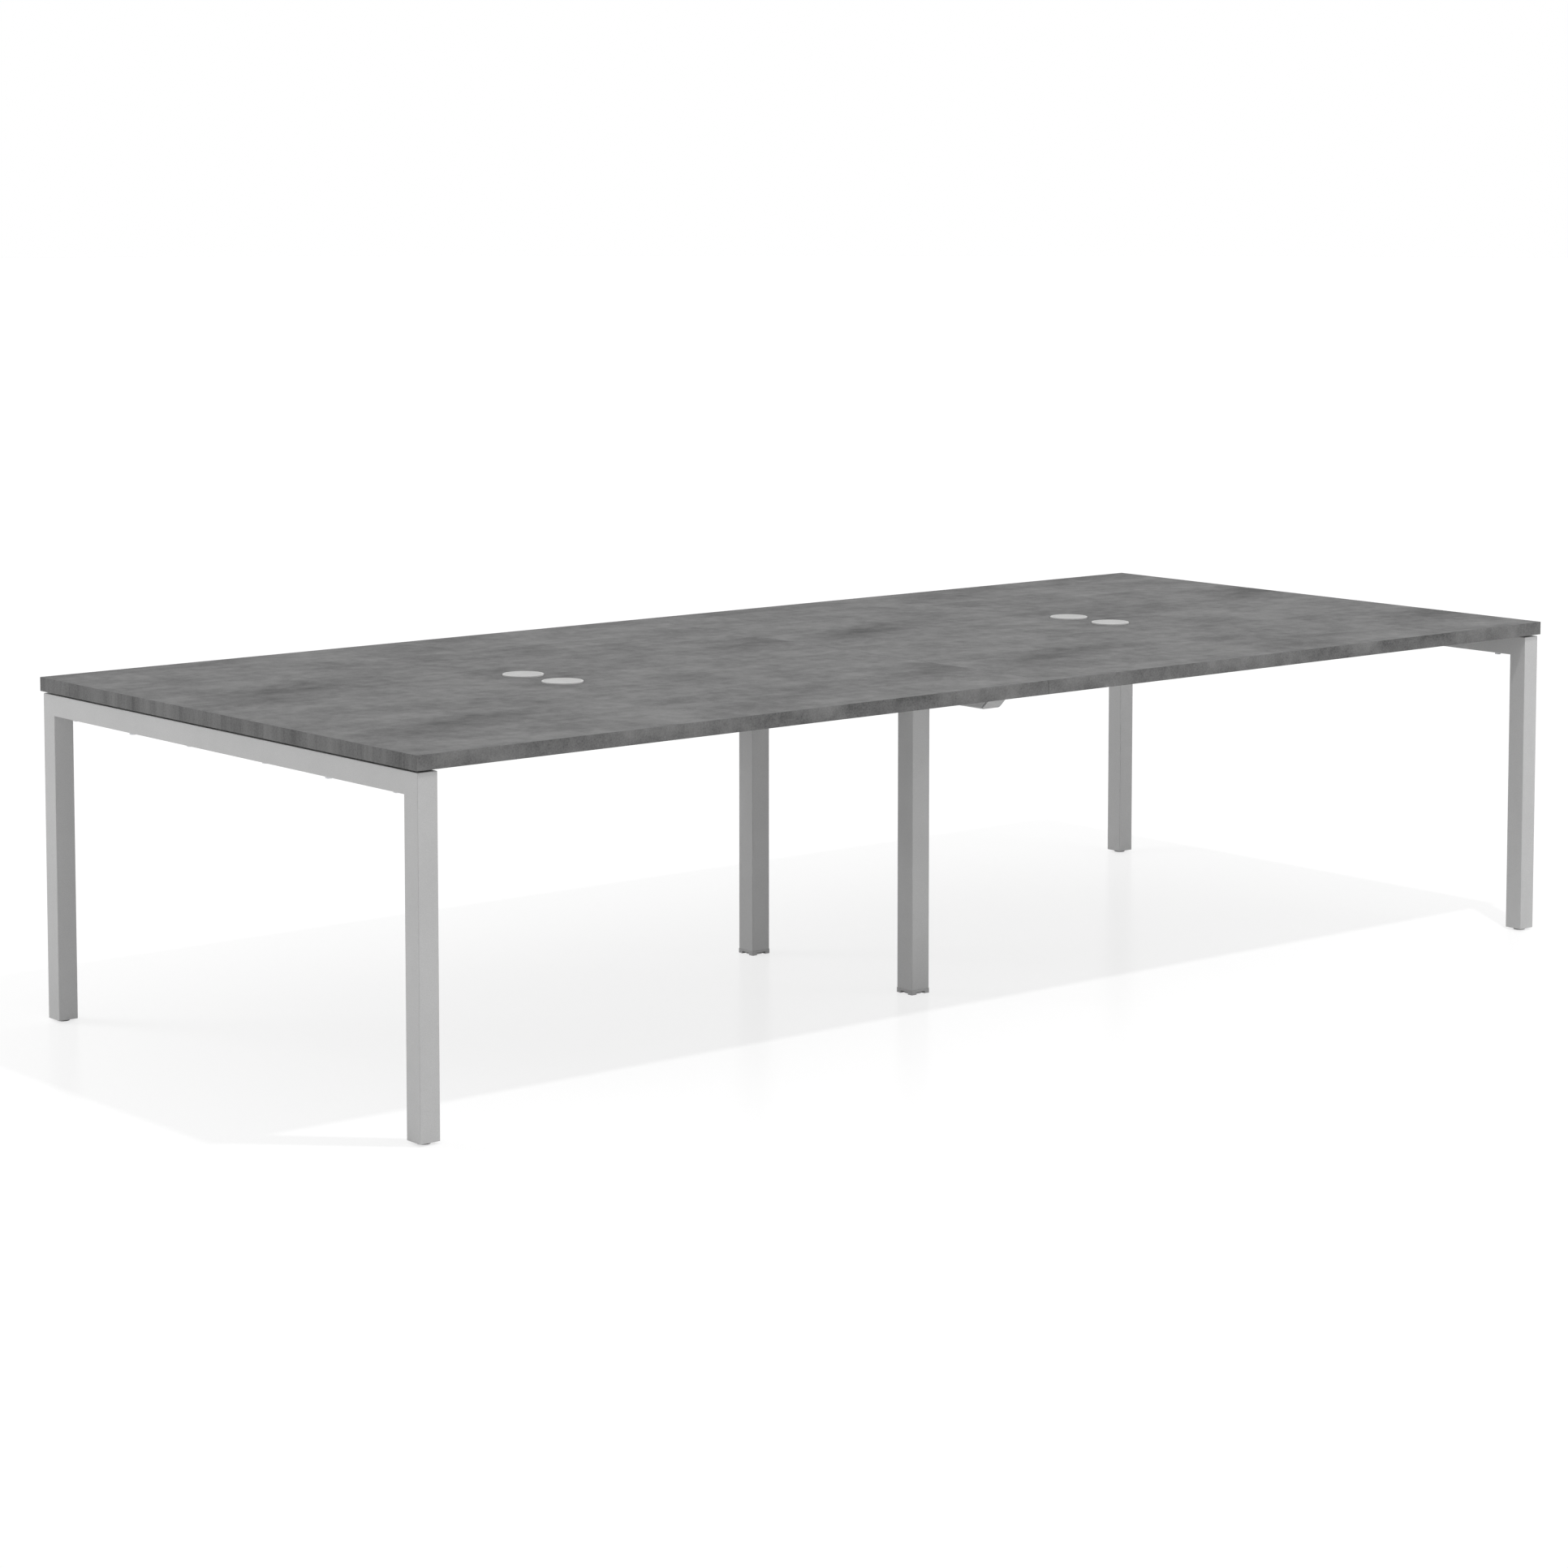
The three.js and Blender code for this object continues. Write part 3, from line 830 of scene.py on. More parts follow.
@dataclass(frozen=True, kw_only=True)
class ConcreteFinish(Finish):
    """Matt laminate with a repeating print of trowelled concrete, which starts anew on each board."""

    dark: Colour
    middle: Colour
    light: Colour
    tones: tuple[float, float, float]
    specular: float
    bands: PrintLayer
    clouds: PrintLayer
    band_share: float
    end_band: EdgeBand
    side_band: EdgeBand
    edge_contrast: float
    fleck_depth: Span
    mottle_depth: float
    pit: Colour
    pit_depth: float
    first_board: str = "top_board_left"
    edge_facing: float = 0.7
    grains_per_metre: float = 260.0
    mottles_per_metre: float = 28.0
    pits_per_metre: float = 230.0
    pores_per_metre: float = 190.0
    wipes_per_metre: float = 4.0
    pit_rim: Span = (0.14, 0.42)
    pit_chance: Span = (0.3, 0.8)
    pore_rim: Span = (0.52, 0.72)
    pore_depth: float = 0.7
    pitted_tones: Span = (0.43, 0.62)
    grain_relief: float = 0.15
    relief: float = 0.12 * MM
    relief_strength: float = 0.6

    def dress(self, coat: Coat) -> None:
        """Lays the finish on a material.

        Args:
            coat: Material in the making.
        """
        sketch = coat.sketch
        along, across, edge = self.on_board(coat)
        spot = sketch.add("ShaderNodeCombineXYZ", {"X": along, "Y": across}).outputs["Vector"]
        bands, clouds = (layer.tone(sketch, along, across) for layer in (self.bands, self.clouds))
        tone = self.stronger_at_edges(sketch, sketch.blend(bands, clouds, self.band_share), edge)
        _, height = coat.grain(self.grains_per_metre)
        flecks = sketch.spread(edge, WHOLE_RANGE, self.fleck_depth)
        mottle = sketch.noise(spot, self.mottles_per_metre, detail=4.0, roughness=0.65)
        for speckle, depth in ((height, flecks), (mottle, self.mottle_depth)):
            centred = sketch.maths("SUBTRACT", speckle, MEAN_NOISE)
            tone = sketch.maths("ADD", tone, sketch.maths("MULTIPLY", centred, depth))
        colour = sketch.ramp(tone, self.tones, (self.dark, self.middle, self.light))
        pits = self.pits(sketch, spot, tone)
        darker = sketch.maths("MULTIPLY", pits, self.pit_depth)
        coat.put("Base Color", sketch.mixed(darker, colour, (*self.pit, 1.0)))
        coat.put("Specular IOR Level", self.specular)
        coat.wipe(self.wipes_per_metre, self.roughness)
        grain = sketch.maths("MULTIPLY", height, self.grain_relief)
        coat.raise_by(sketch.maths("SUBTRACT", grain, pits), self.relief, self.relief_strength)

    def on_board(self, coat: Coat) -> tuple[Socket, Socket, Socket]:
        """Where a point lies on the print of its board, whose edges carry strips of the same print.

        Args:
            coat: Material in the making.

        Returns:
            The distances along and across from the board's own left front corner, and 1 on an edge and 0
            on the flat.
        """
        sketch = coat.sketch
        board = Box.of(self.first_board)
        half_length = board.radius
        axes = sketch.split(coat.place)
        facing = sketch.split(sketch.vectors("ABSOLUTE", {"Vector": coat.normal}))
        depth = sketch.maths("SUBTRACT", axes["Z"], board.high.z)
        side = sketch.maths("MULTIPLY", sketch.maths("SIGN", axes["X"]), half_length)
        along = sketch.maths("ADD", sketch.maths("SUBTRACT", axes["X"], side), half_length)
        spot = [along, sketch.maths("SUBTRACT", axes["Y"], board.low.y)]
        edge = 0.0
        for way, band in ((facing["X"], self.end_band), (facing["Y"], self.side_band)):
            banded = sketch.maths("GREATER_THAN", way, self.edge_facing)
            edge = sketch.maths("MAXIMUM", banded, edge)
            for index, (start, run) in enumerate(zip(band.start, band.run)):
                step = sketch.maths("ADD", sketch.maths("MULTIPLY", depth, run), start)
                spot[index] = sketch.maths("ADD", spot[index], sketch.maths("MULTIPLY", step, banded))
        return spot[0], spot[1], edge

    def stronger_at_edges(self, sketch: Sketch, tone: Socket, edge: Socket) -> Socket:
        """Tone of the print with more contrast on the edge bands than on the flat.

        Args:
            sketch: Tree that the nodes go into.
            tone: Tone of the print.
            edge: 1 on an edge and 0 on the flat.

        Returns:
            The new tone.
        """
        middle = self.tones[1]
        gain = sketch.spread(edge, WHOLE_RANGE, (1.0, self.edge_contrast))
        swing = sketch.maths("MULTIPLY", sketch.maths("SUBTRACT", tone, middle), gain)
        return sketch.maths("ADD", swing, middle)

    def pits(self, sketch: Sketch, spot: Socket, tone: Socket) -> Socket:
        """Mask of the fine dark pits and pores, thicker in the dark clouds than in the light ones.

        Args:
            sketch: Tree that the nodes go into.
            spot: Place on the print.
            tone: Tone of the print.

        Returns:
            The mask.
        """
        distance, chance = sketch.cells(spot, self.pits_per_metre)
        dots = sketch.spread(distance, self.pit_rim, (1.0, 0.0))
        some = sketch.maths("MULTIPLY", dots, sketch.spread(chance, self.pit_chance, WHOLE_RANGE))
        speckle = sketch.noise(spot, self.pores_per_metre, detail=3.0, roughness=0.6)
        pores = sketch.spread(speckle, self.pore_rim, (0.0, self.pore_depth))
        patches = sketch.spread(tone, self.pitted_tones, (1.0, 0.0))
        return sketch.maths("MULTIPLY", sketch.maths("MAXIMUM", some, pores), patches)


@dataclass(frozen=True, kw_only=True)
class PaintFinish(Finish):
    """Silver-grey powder coat: satin, with a fine metallic grain."""

    shade: Colour
    flake: Colour
    tones: Span = (0.25, 0.75)
    flake_share: float = 0.7
    flakes_per_metre: float = 1500.0
    clouds_per_metre: float = 7.0
    cloud_warp: float = 0.05
    wipes_per_metre: float = 5.0
    relief: float = 0.05 * MM

    def dress(self, coat: Coat) -> None:
        """Lays the finish on a material.

        Args:
            coat: Material in the making.
        """
        flakes, height = coat.grain(self.flakes_per_metre)
        clouds = coat.clouds(self.clouds_per_metre, self.cloud_warp)
        tone = coat.sketch.blend(flakes, clouds, self.flake_share)
        coat.put("Base Color", coat.sketch.ramp(tone, self.tones, (self.shade, self.flake)))
        coat.wipe(self.wipes_per_metre, self.roughness)
        coat.raise_by(height, self.relief)


@dataclass(frozen=True, kw_only=True)
class MouldedFinish(Finish):
    """Moulded plastic with a fine eroded grain."""

    shade: Colour
    light: Colour
    grains_per_metre: float
    specular: float = 0.4
    tones: Span = (0.2, 0.8)
    wipes_per_metre: float = 22.0
    relief: float = 0.04 * MM

    def dress(self, coat: Coat) -> None:
        """Lays the finish on a material.

        Args:
            coat: Material in the making.
        """
        tone, height = coat.grain(self.grains_per_metre)
        coat.put("Base Color", coat.sketch.ramp(tone, self.tones, (self.shade, self.light)))
        coat.put("Specular IOR Level", self.specular)
        coat.wipe(self.wipes_per_metre, self.roughness)
        coat.raise_by(height, self.relief)


@dataclass(frozen=True, kw_only=True)
class PlatedFinish(Finish):
    """Plated steel with a cloudy tone and a fine grain."""

    shade: Colour
    light: Colour
    tones: Span = (0.3, 0.7)
    clouds_per_metre: float = 90.0
    cloud_warp: float = 0.004
    grains_per_metre: float = 900.0
    grain_tones: Span = (0.2, 0.8)
    relief: float = 0.02 * MM

    def dress(self, coat: Coat) -> None:
        """Lays the finish on a material.

        Args:
            coat: Material in the making.
        """
        clouds = coat.clouds(self.clouds_per_metre, self.cloud_warp)
        coat.put("Base Color", coat.sketch.ramp(clouds, self.tones, (self.shade, self.light)))
        coat.put("Metallic", 1.0)
        grain, height = coat.grain(self.grains_per_metre)
        coat.put("Roughness", coat.sketch.spread(grain, self.grain_tones, self.roughness))
        coat.raise_by(height, self.relief)


# The lid's finish is darker than the liner's grommet_pale: painted shade for the lid's dish lying below a
# rim that catches the light.
SHADED_LID_FINISH = MouldedFinish(
    name="lid_painted_shade",
    shade=(0.43, 0.43, 0.426),
    light=(0.52, 0.52, 0.515),
    roughness=(0.4, 0.52),
    grains_per_metre=800.0,
)

FINISHES: dict[Slot, Finish] = {
    Slot.CONCRETE: ConcreteFinish(
        name="concrete_laminate",
        dark=grey(0.057),
        middle=grey(0.145),
        light=(0.223, 0.223, 0.221),
        tones=(0.269, 0.505, 0.741),
        roughness=(0.62, 0.76),
        specular=0.3,
        bands=PrintLayer((2.5, 5.0), detail=1.0, roughness=0.5, seed=1381.0, start=(0.64, 0.0)),
        clouds=PrintLayer((7.0, 7.5), detail=6.0, roughness=0.65, seed=57.0, start=(0.14, 0.38)),
        band_share=0.36,
        end_band=EdgeBand(start=(0.72, 0.22), run=(0.12, 0.0)),
        side_band=EdgeBand(start=(0.96, 0.05), run=(0.0, 1.0)),
        edge_contrast=1.5,
        fleck_depth=(0.12, 0.46),
        mottle_depth=0.44,
        pit=grey(0.05),
        pit_depth=0.5,
    ),
    Slot.SILVER: PaintFinish(
        name="silver_powder_coat",
        shade=grey(0.503),
        flake=(0.631, 0.631, 0.629),
        roughness=(0.42, 0.56),
    ),
    Slot.GLIDE: MouldedFinish(
        name="glide_grey",
        shade=grey(0.34),
        light=grey(0.44),
        roughness=(0.5, 0.65),
        grains_per_metre=1100.0,
    ),
    Slot.CAP: MouldedFinish(
        name="cap_grey",
        shade=grey(0.44),
        light=grey(0.56),
        roughness=(0.48, 0.62),
        grains_per_metre=900.0,
    ),
    Slot.BLACK: MouldedFinish(
        name="packing_black",
        shade=grey(0.014),
        light=grey(0.03),
        roughness=(0.5, 0.7),
        grains_per_metre=900.0,
    ),
    Slot.GROMMET: MouldedFinish(
        name="grommet_pale",
        shade=(0.5, 0.5, 0.495),
        light=(0.6, 0.6, 0.595),
        roughness=(0.38, 0.5),
        grains_per_metre=800.0,
    ),
    Slot.ZINC: PlatedFinish(
        name="zinc_plate",
        shade=(0.5, 0.51, 0.53),
        light=(0.7, 0.71, 0.72),
        roughness=(0.28, 0.46),
    ),
}


@dataclass
class Workshop:
    """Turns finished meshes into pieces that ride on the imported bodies."""

    nodes: dict[str, bpy.types.Object]
    effects: Effects
    materials: dict[str, bpy.types.Material] = field(default_factory=dict)
    made: int = 0

    def material(self, finish: Finish) -> bpy.types.Material:
        """The material of a finish, built the first time that a piece needs it.

        Args:
            finish: Finish of a piece.

        Returns:
            Its material.
        """
        if finish.name not in self.materials:
            self.materials[finish.name] = finish.material(self.effects)
        return self.materials[finish.name]

    def copied(self, node: str) -> Mesh:
        """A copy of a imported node's mesh, merged and with flat faces made whole.

        Args:
            node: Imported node.

        Returns:
            The new mesh.
        """
        mesh = bmesh.new()
        mesh.from_mesh(self.nodes[node].data)
        bmesh.ops.remove_doubles(mesh, verts=mesh.verts, dist=MERGE_DISTANCE)
        bmesh.ops.dissolve_limit(mesh, angle_limit=FLAT_ANGLE, verts=mesh.verts, edges=mesh.edges)
        return mesh

    def softened(self, node: str, radius: float, angle: float = SHARP_ANGLE) -> Mesh:
        """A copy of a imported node's mesh with its sharp edges rounded.

        Args:
            node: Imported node.
            radius: Radius of the rounds.
            angle: Least angle of an edge that is rounded.

        Returns:
            The new mesh.
        """
        mesh = self.copied(node)
        return rounded(mesh, sharp_edges(mesh, angle), radius)

    def place(
        self,
        name: str,
        mesh: Mesh,
        slot: Slot,
        stands_for: Sequence[str],
        body: str = TABLE_BODY,
        finish: Optional[Finish] = None,
    ) -> bpy.types.Object:
        """Makes a piece of a mesh and sets it on its body.

        Args:
            name: Name of the piece.
            mesh: Finished mesh in the frame, which is freed.
            slot: Material slot of its finish.
            stands_for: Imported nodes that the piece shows.
            body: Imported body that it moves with.
            finish: Finish of its own, where it isn't the slot's plain one.

        Returns:
            The new object.
        """
        data = mesh_data(name, mesh)
        data.shade_smooth()
        data.set_sharp_from_angle(angle=SMOOTH_ANGLE)
        data.materials.append(self.material(finish or FINISHES[slot]))
        piece = in_scene(name, data)
        weighted = piece.modifiers.new("flat_faces_stay_flat", "WEIGHTED_NORMAL")
        weighted.mode = "FACE_AREA"
        weighted.keep_sharp = True
        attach(piece, body)
        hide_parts(*stands_for)
        self.made += 1
        LOG.info("%s: %d faces on %s for %s", name, len(data.polygons), body, ", ".join(stands_for))
        return piece


# Sub-assemblies


@dataclass
class TableTop:
    """The two boards of the surface."""

    edge_round: float = 1.0 * MM
    edge_segments: int = 3
    seam_round: float = 0.5 * MM

    def build(self, shop: Workshop) -> None:
        """Builds both boards.

        Args:
            shop: Place where pieces are made.
        """
        for end in End:
            node = f"top_board_{end.value}"
            shop.place(f"{end.value}_board", self.board(shop, node, end), Slot.CONCRETE, [node])

    def board(self, shop: Workshop, node: str, end: End) -> Mesh:
        """One board with its edges rounded, and rounded less where the boards meet.

        Args:
            shop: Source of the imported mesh.
            node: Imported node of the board.
            end: End of the table that the board lies at.

        Returns:
            The mesh of the board.
        """
        box = Box.of(node)
        seam = box.high.x if end is End.LEFT else box.low.x
        mesh = shop.copied(node)

        def outer(edge: Edge) -> bool:
            """Whether an edge is one of the twelve edges of the board."""
            first, second = (box.faces_at(vert.co) for vert in edge.verts)
            return len(first & second) >= 2

        def at_seam(edge: Edge) -> bool:
            """Whether an edge lies where the boards meet."""
            return all(near(vert.co.x, seam) for vert in edge.verts)

        rounded(mesh, [edge for edge in mesh.edges if outer(edge) and at_seam(edge)], self.seam_round)
        rim = [edge for edge in mesh.edges if outer(edge) and not at_seam(edge)]
        return rounded(mesh, rim, self.edge_round, self.edge_segments)


@dataclass
class Grommets:
    """The cable grommets: a flanged liner in the board and a lid on its ledge, the lid in a darker finish
    that is painted shade.
    """

    sleeve_radius: float = 40.0 * MM
    bore_radius: float = 37.0 * MM
    ledge_radius: float = 39.0 * MM
    ledge_depth: float = 2.5 * MM
    flange_height: float = 3.0 * MM
    rim_round: float = 0.8 * MM
    rim_segments: int = 5
    lip_round: float = 0.35 * MM
    lid_gap: float = 0.3 * MM
    lid_lift: float = 0.1 * MM
    lid_round: float = 0.5 * MM
    lid_segments: int = 3
    lid_rim: float = 3.0 * MM
    lid_slope: float = 1.2 * MM
    lid_dish: float = 0.35 * MM
    skirt_wall: float = 2.0 * MM
    steps: int = 96

    def build(self, shop: Workshop) -> None:
        """Builds the four grommets.

        Args:
            shop: Place where pieces are made.
        """
        for corner in CORNERS:
            liner, lid = f"{corner}_grommet_liner", f"{corner}_grommet_lid"
            shop.place(f"{corner}_cable_liner", self.liner(liner), Slot.GROMMET, [liner])
            # The lid takes its own darker finish, which is painted shade.
            shop.place(
                f"{corner}_cable_lid", self.lid(lid), Slot.GROMMET, [lid], body=lid, finish=SHADED_LID_FINISH
            )

    def liner(self, node: str) -> Mesh:
        """The liner with its rim rounded over.

        Args:
            node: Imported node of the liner.

        Returns:
            The mesh of the liner.
        """
        box = Box.of(node)
        bottom, top, flange = box.low.z, box.high.z, box.radius
        profile = [
            (self.bore_radius, bottom),
            (self.sleeve_radius, bottom),
            (self.sleeve_radius, top - self.flange_height),
            (flange, top - self.flange_height),
            (flange, top),
            (self.ledge_radius, top),
            (self.ledge_radius, top - self.ledge_depth),
            (self.bore_radius, top - self.ledge_depth),
        ]
        mesh = turned(profile, self.steps, closed=True)
        rounded(mesh, ring_edges(mesh, flange, top), self.rim_round, self.rim_segments)
        rounded(mesh, ring_edges(mesh, self.ledge_radius, top), self.lip_round)
        return on_axis_of(mesh, box)

    def lid(self, node: str) -> Mesh:
        """The lid, a little dished inside its rim, with a skirt under it.

        Args:
            node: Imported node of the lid.

        Returns:
            The mesh of the lid.
        """
        box = Box.of(node)
        bottom, top, disc = box.low.z, box.high.z, box.radius
        skirt = self.bore_radius - self.lid_gap
        under = top - self.ledge_depth + self.lid_lift
        rim = disc - self.lid_rim
        profile = [
            (0.0, under),
            (skirt - self.skirt_wall, under),
            (skirt - self.skirt_wall, bottom),
            (skirt, bottom),
            (skirt, under),
            (disc, under),
            (disc, top),
            (rim, top),
            (rim - self.lid_slope, top - self.lid_dish),
            (0.0, top - self.lid_dish),
        ]
        mesh = turned(profile, self.steps)
        rounded(mesh, ring_edges(mesh, disc, top), self.lid_round, self.lid_segments)
        return on_axis_of(mesh, box)


@dataclass
class Bolt:
    """A flanged hex bolt, head down."""

    shank_radius: float = 4.0 * MM
    shank_chamfer: float = 1.0 * MM
    flange_radius: float = 10.0 * MM
    flange_height: float = 2.5 * MM
    flange_lip: float = 1.0 * MM
    flange_round: float = 0.4 * MM
    neck_depth: float = 1.0 * MM
    head_height: float = 5.0 * MM
    head_round: float = 0.6 * MM
    across_flats: float = 13.0 * MM
    steps: int = 48

    def mesh(self, node: str) -> Mesh:
        """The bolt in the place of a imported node.

        Args:
            node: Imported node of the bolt.

        Returns:
            The mesh of the bolt: a turned flange and shank, whose neck is sunk in a hex head.
        """
        box = Box.of(node)
        bottom, top = box.low.z, box.high.z
        head_top = bottom + self.head_height
        bearing = head_top + self.flange_height
        neck = self.across_flats / 2
        profile = [
            (0.0, head_top - self.neck_depth),
            (neck, head_top - self.neck_depth),
            (neck, head_top),
            (self.flange_radius, bearing - self.flange_lip),
            (self.flange_radius, bearing),
            (self.shank_radius, bearing),
            (self.shank_radius, top - self.shank_chamfer),
            (self.shank_radius - self.shank_chamfer, top),
            (0.0, top),
        ]
        bolt = turned(profile, self.steps)
        rounded(bolt, ring_edges(bolt, self.flange_radius, bearing - self.flange_lip), self.flange_round)
        return on_axis_of(joined(bolt, self.head(bottom)), box)

    def head(self, bottom: float) -> Mesh:
        """The hex head about the Z axis, with its lower edges rounded.

        Args:
            bottom: Level of its underside.

        Returns:
            The mesh of the head.
        """
        head = bmesh.new()
        radius = self.across_flats / math.sqrt(3.0)
        bmesh.ops.create_cone(
            head,
            cap_ends=True,
            segments=6,
            radius1=radius,
            radius2=radius,
            depth=self.head_height,
            matrix=Matrix.Translation((0.0, 0.0, bottom + self.head_height / 2)),
        )
        return rounded(head, [edge for edge in head.edges if lies_at(edge, bottom)], self.head_round)


@dataclass
class EndFrame:
    """One end frame: two legs and a rail welded to a hoop, with its feet, spacers and bolts."""

    end: End
    corner_round: float = 1.5 * MM
    corner_segments: int = 4
    wall: float = 2.2 * MM
    foot_opening: float = 34.0 * MM
    plug_round: float = 0.8 * MM
    thread_pitch: float = 1.5 * MM
    thread_depth: float = 0.55 * MM
    stud_radius: float = 5.0 * MM
    pad_height: float = 4.9 * MM
    pad_round: float = 1.1 * MM
    pad_segments: int = 3
    spacers: int = 4
    spacer_bore: float = 4.4 * MM
    spacer_round: float = 0.5 * MM
    steps: int = 48
    tongue_bolt: Bolt = field(default_factory=Bolt)
    board_bolt: Bolt = field(default_factory=lambda: Bolt(head_height=3.5 * MM))

    def build(self, shop: Workshop) -> None:
        """Builds the hoop and all that is fixed to it.

        Args:
            shop: Place where pieces are made.
        """
        name = self.end.value
        legs = [f"{name}_{side.value}_leg" for side in Side]
        shop.place(f"{name}_hoop", self.hoop(legs), Slot.SILVER, [f"{name}_end_rail", *legs])
        for side in Side:
            corner = f"{name}_{side.value}"
            self.foot(shop, corner)
            node = f"{corner}_stretcher_bolt"
            shop.place(f"{corner}_tongue_screw", self.tongue_bolt.mesh(node), Slot.ZINC, [node])
        for number in range(1, self.spacers + 1):
            spacer, bolt = f"board_spacer_{name}_{number}", f"board_bolt_{name}_{number}"
            shop.place(f"{name}_packing_ring_{number}", self.spacer(spacer), Slot.BLACK, [spacer])
            shop.place(f"{name}_board_screw_{number}", self.board_bolt.mesh(bolt), Slot.ZINC, [bolt])

    def hoop(self, legs: Sequence[str]) -> Mesh:
        """Legs and rail as one seamless tube, open at the feet.

        Args:
            legs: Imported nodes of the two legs.

        Returns:
            The mesh of the hoop.
        """
        rail = Box.of(f"{self.end.value}_end_rail")
        boxes = [Box.of(leg) for leg in legs]
        low = Vector((rail.low.x, min(box.low.y for box in boxes), rail.low.z))
        high = Vector((rail.high.x, max(box.high.y for box in boxes), rail.high.z))
        foot_level = min(box.low.z for box in boxes)
        tube = rail.high.x - rail.low.x
        front, rear = low.y + tube, high.y - tube
        mesh = block(Box(low, high))
        for level in (front, rear):
            place, across = Vector((0.0, level, 0.0)), Vector((0.0, 1.0, 0.0))
            bmesh.ops.bisect_plane(mesh, geom=whole(mesh), plane_co=place, plane_no=across)
        for face in faces_towards(mesh, DOWN):
            if not front < face.calc_center_median().y < rear:
                pushed(mesh, face, DOWN * (low.z - foot_level))
        bmesh.ops.dissolve_limit(mesh, angle_limit=FLAT_ANGLE, verts=mesh.verts, edges=mesh.edges)
        bmesh.ops.recalc_face_normals(mesh, faces=mesh.faces)
        long_edges = [edge for edge in sharp_edges(mesh) if not lies_at(edge, foot_level)]
        rounded(mesh, long_edges, self.corner_round, self.corner_segments)
        for face in faces_towards(mesh, DOWN):
            if near(face.calc_center_median().z, foot_level):
                hollow_end(mesh, face, self.wall, self.foot_opening)
        return mesh

    def foot(self, shop: Workshop, corner: str) -> None:
        """The plug and the glide of one leg.

        Args:
            shop: Place where pieces are made.
            corner: Corner of the table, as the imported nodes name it.
        """
        node = f"{corner}_leg_insert"
        box = Box.of(node)
        plug = shop.copied(node)

        def outside(edge: Edge) -> bool:
            """Whether an edge lies on the sides of the plug and not in its bore."""
            first, second = ({axis for axis, _ in box.faces_at(vert.co)} for vert in edge.verts)
            return bool((first & second) - {Axis.Z})

        edges = [edge for edge in sharp_edges(plug) if outside(edge)]
        shop.place(f"{corner}_foot_plug", rounded(plug, edges, self.plug_round), Slot.BLACK, [node])
        node = f"{corner}_glide"
        shop.place(f"{corner}_levelling_foot", self.glide(node), Slot.GLIDE, [node], body=node)

    def glide(self, node: str) -> Mesh:
        """A round foot on a threaded stud.

        Args:
            node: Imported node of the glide.

        Returns:
            The mesh of the glide.
        """
        box = Box.of(node)
        bottom, top, radius = box.low.z, box.high.z, box.radius
        shoulder = bottom + self.pad_height
        root = self.stud_radius - self.thread_depth
        profile = [(0.0, bottom), (radius, bottom), (radius, shoulder), (root, shoulder)]
        for turn in range(int((top - shoulder) / self.thread_pitch)):
            start = shoulder + turn * self.thread_pitch
            profile.append((self.stud_radius, start + self.thread_pitch / 2))
            profile.append((root, start + self.thread_pitch))
        profile += [(root, top), (0.0, top)]
        mesh = turned(profile, self.steps)
        rounded(mesh, ring_edges(mesh, radius, bottom), self.pad_round, self.pad_segments)
        rounded(mesh, ring_edges(mesh, radius, shoulder), self.pad_round / 2, self.pad_segments)
        return on_axis_of(mesh, box)

    def spacer(self, node: str) -> Mesh:
        """A ring between rail and board.

        Args:
            node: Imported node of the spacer.

        Returns:
            The mesh of the ring.
        """
        box = Box.of(node)
        bottom, top, radius = box.low.z, box.high.z, box.radius
        profile = [(self.spacer_bore, bottom), (radius, bottom), (radius, top), (self.spacer_bore, top)]
        mesh = turned(profile, self.steps, closed=True)
        for level in (bottom, top):
            rounded(mesh, ring_edges(mesh, radius, level), self.spacer_round)
        return on_axis_of(mesh, box)


@dataclass
class Trestle:
    """The middle trestle: a slant-ended cross beam on two capped legs."""

    beam_round: float = 4.0 * MM
    beam_wall: float = 2.5 * MM
    beam_opening: float = 25.0 * MM
    cap_groove: float = 1.3 * MM
    cap_round: float = 0.2 * MM
    cap_angle: float = math.radians(40.0)
    leg_round: float = 2.5 * MM
    round_segments: int = 4
    soft_edge: float = 0.5 * MM

    def build(self, shop: Workshop) -> None:
        """Builds the beam, its caps, the legs with their shoes, and the strip under the seam.

        Args:
            shop: Place where pieces are made.
        """
        shop.place("middle_beam", self.beam(), Slot.SILVER, ["cross_beam"])
        for side in Side:
            name = side.value
            node = f"cross_beam_{name}_cap"
            cap = shop.softened(node, self.cap_round, self.cap_angle)
            shop.place(f"{name}_beam_cap", cap, Slot.CAP, [node])
            node = f"mid_{name}_leg"
            shop.place(f"{name}_middle_post", self.post(node), Slot.SILVER, [node])
            node = f"mid_{name}_foot_cap"
            shop.place(f"{name}_middle_shoe", shop.softened(node, self.soft_edge), Slot.CAP, [node])
        node = "seam_strip"
        shop.place("seam_packing", shop.softened(node, self.soft_edge), Slot.BLACK, [node])

    def beam(self) -> Mesh:
        """The cross beam, cut back under both ends, with a groove before its caps and open behind them.

        Returns:
            The mesh of the beam.
        """
        box = Box.of("cross_beam")
        mesh = block(box)
        rounded(mesh, edges_along(mesh, Axis.Y), self.beam_round, self.round_segments)
        for side in Side:
            slant = Vector((0.0, side.sign, -1.0)).normalized()
            tip = Vector((0.0, box.high.y if side is Side.REAR else box.low.y, box.high.z))
            face = cut_away(mesh, tip - slant * self.cap_groove, slant)
            hollow_end(mesh, face, self.beam_wall, self.beam_opening)
        return mesh

    def post(self, node: str) -> Mesh:
        """A middle leg with its long edges rounded."""
        mesh = block(Box.of(node))
        return rounded(mesh, edges_along(mesh, Axis.Z), self.leg_round, self.round_segments)


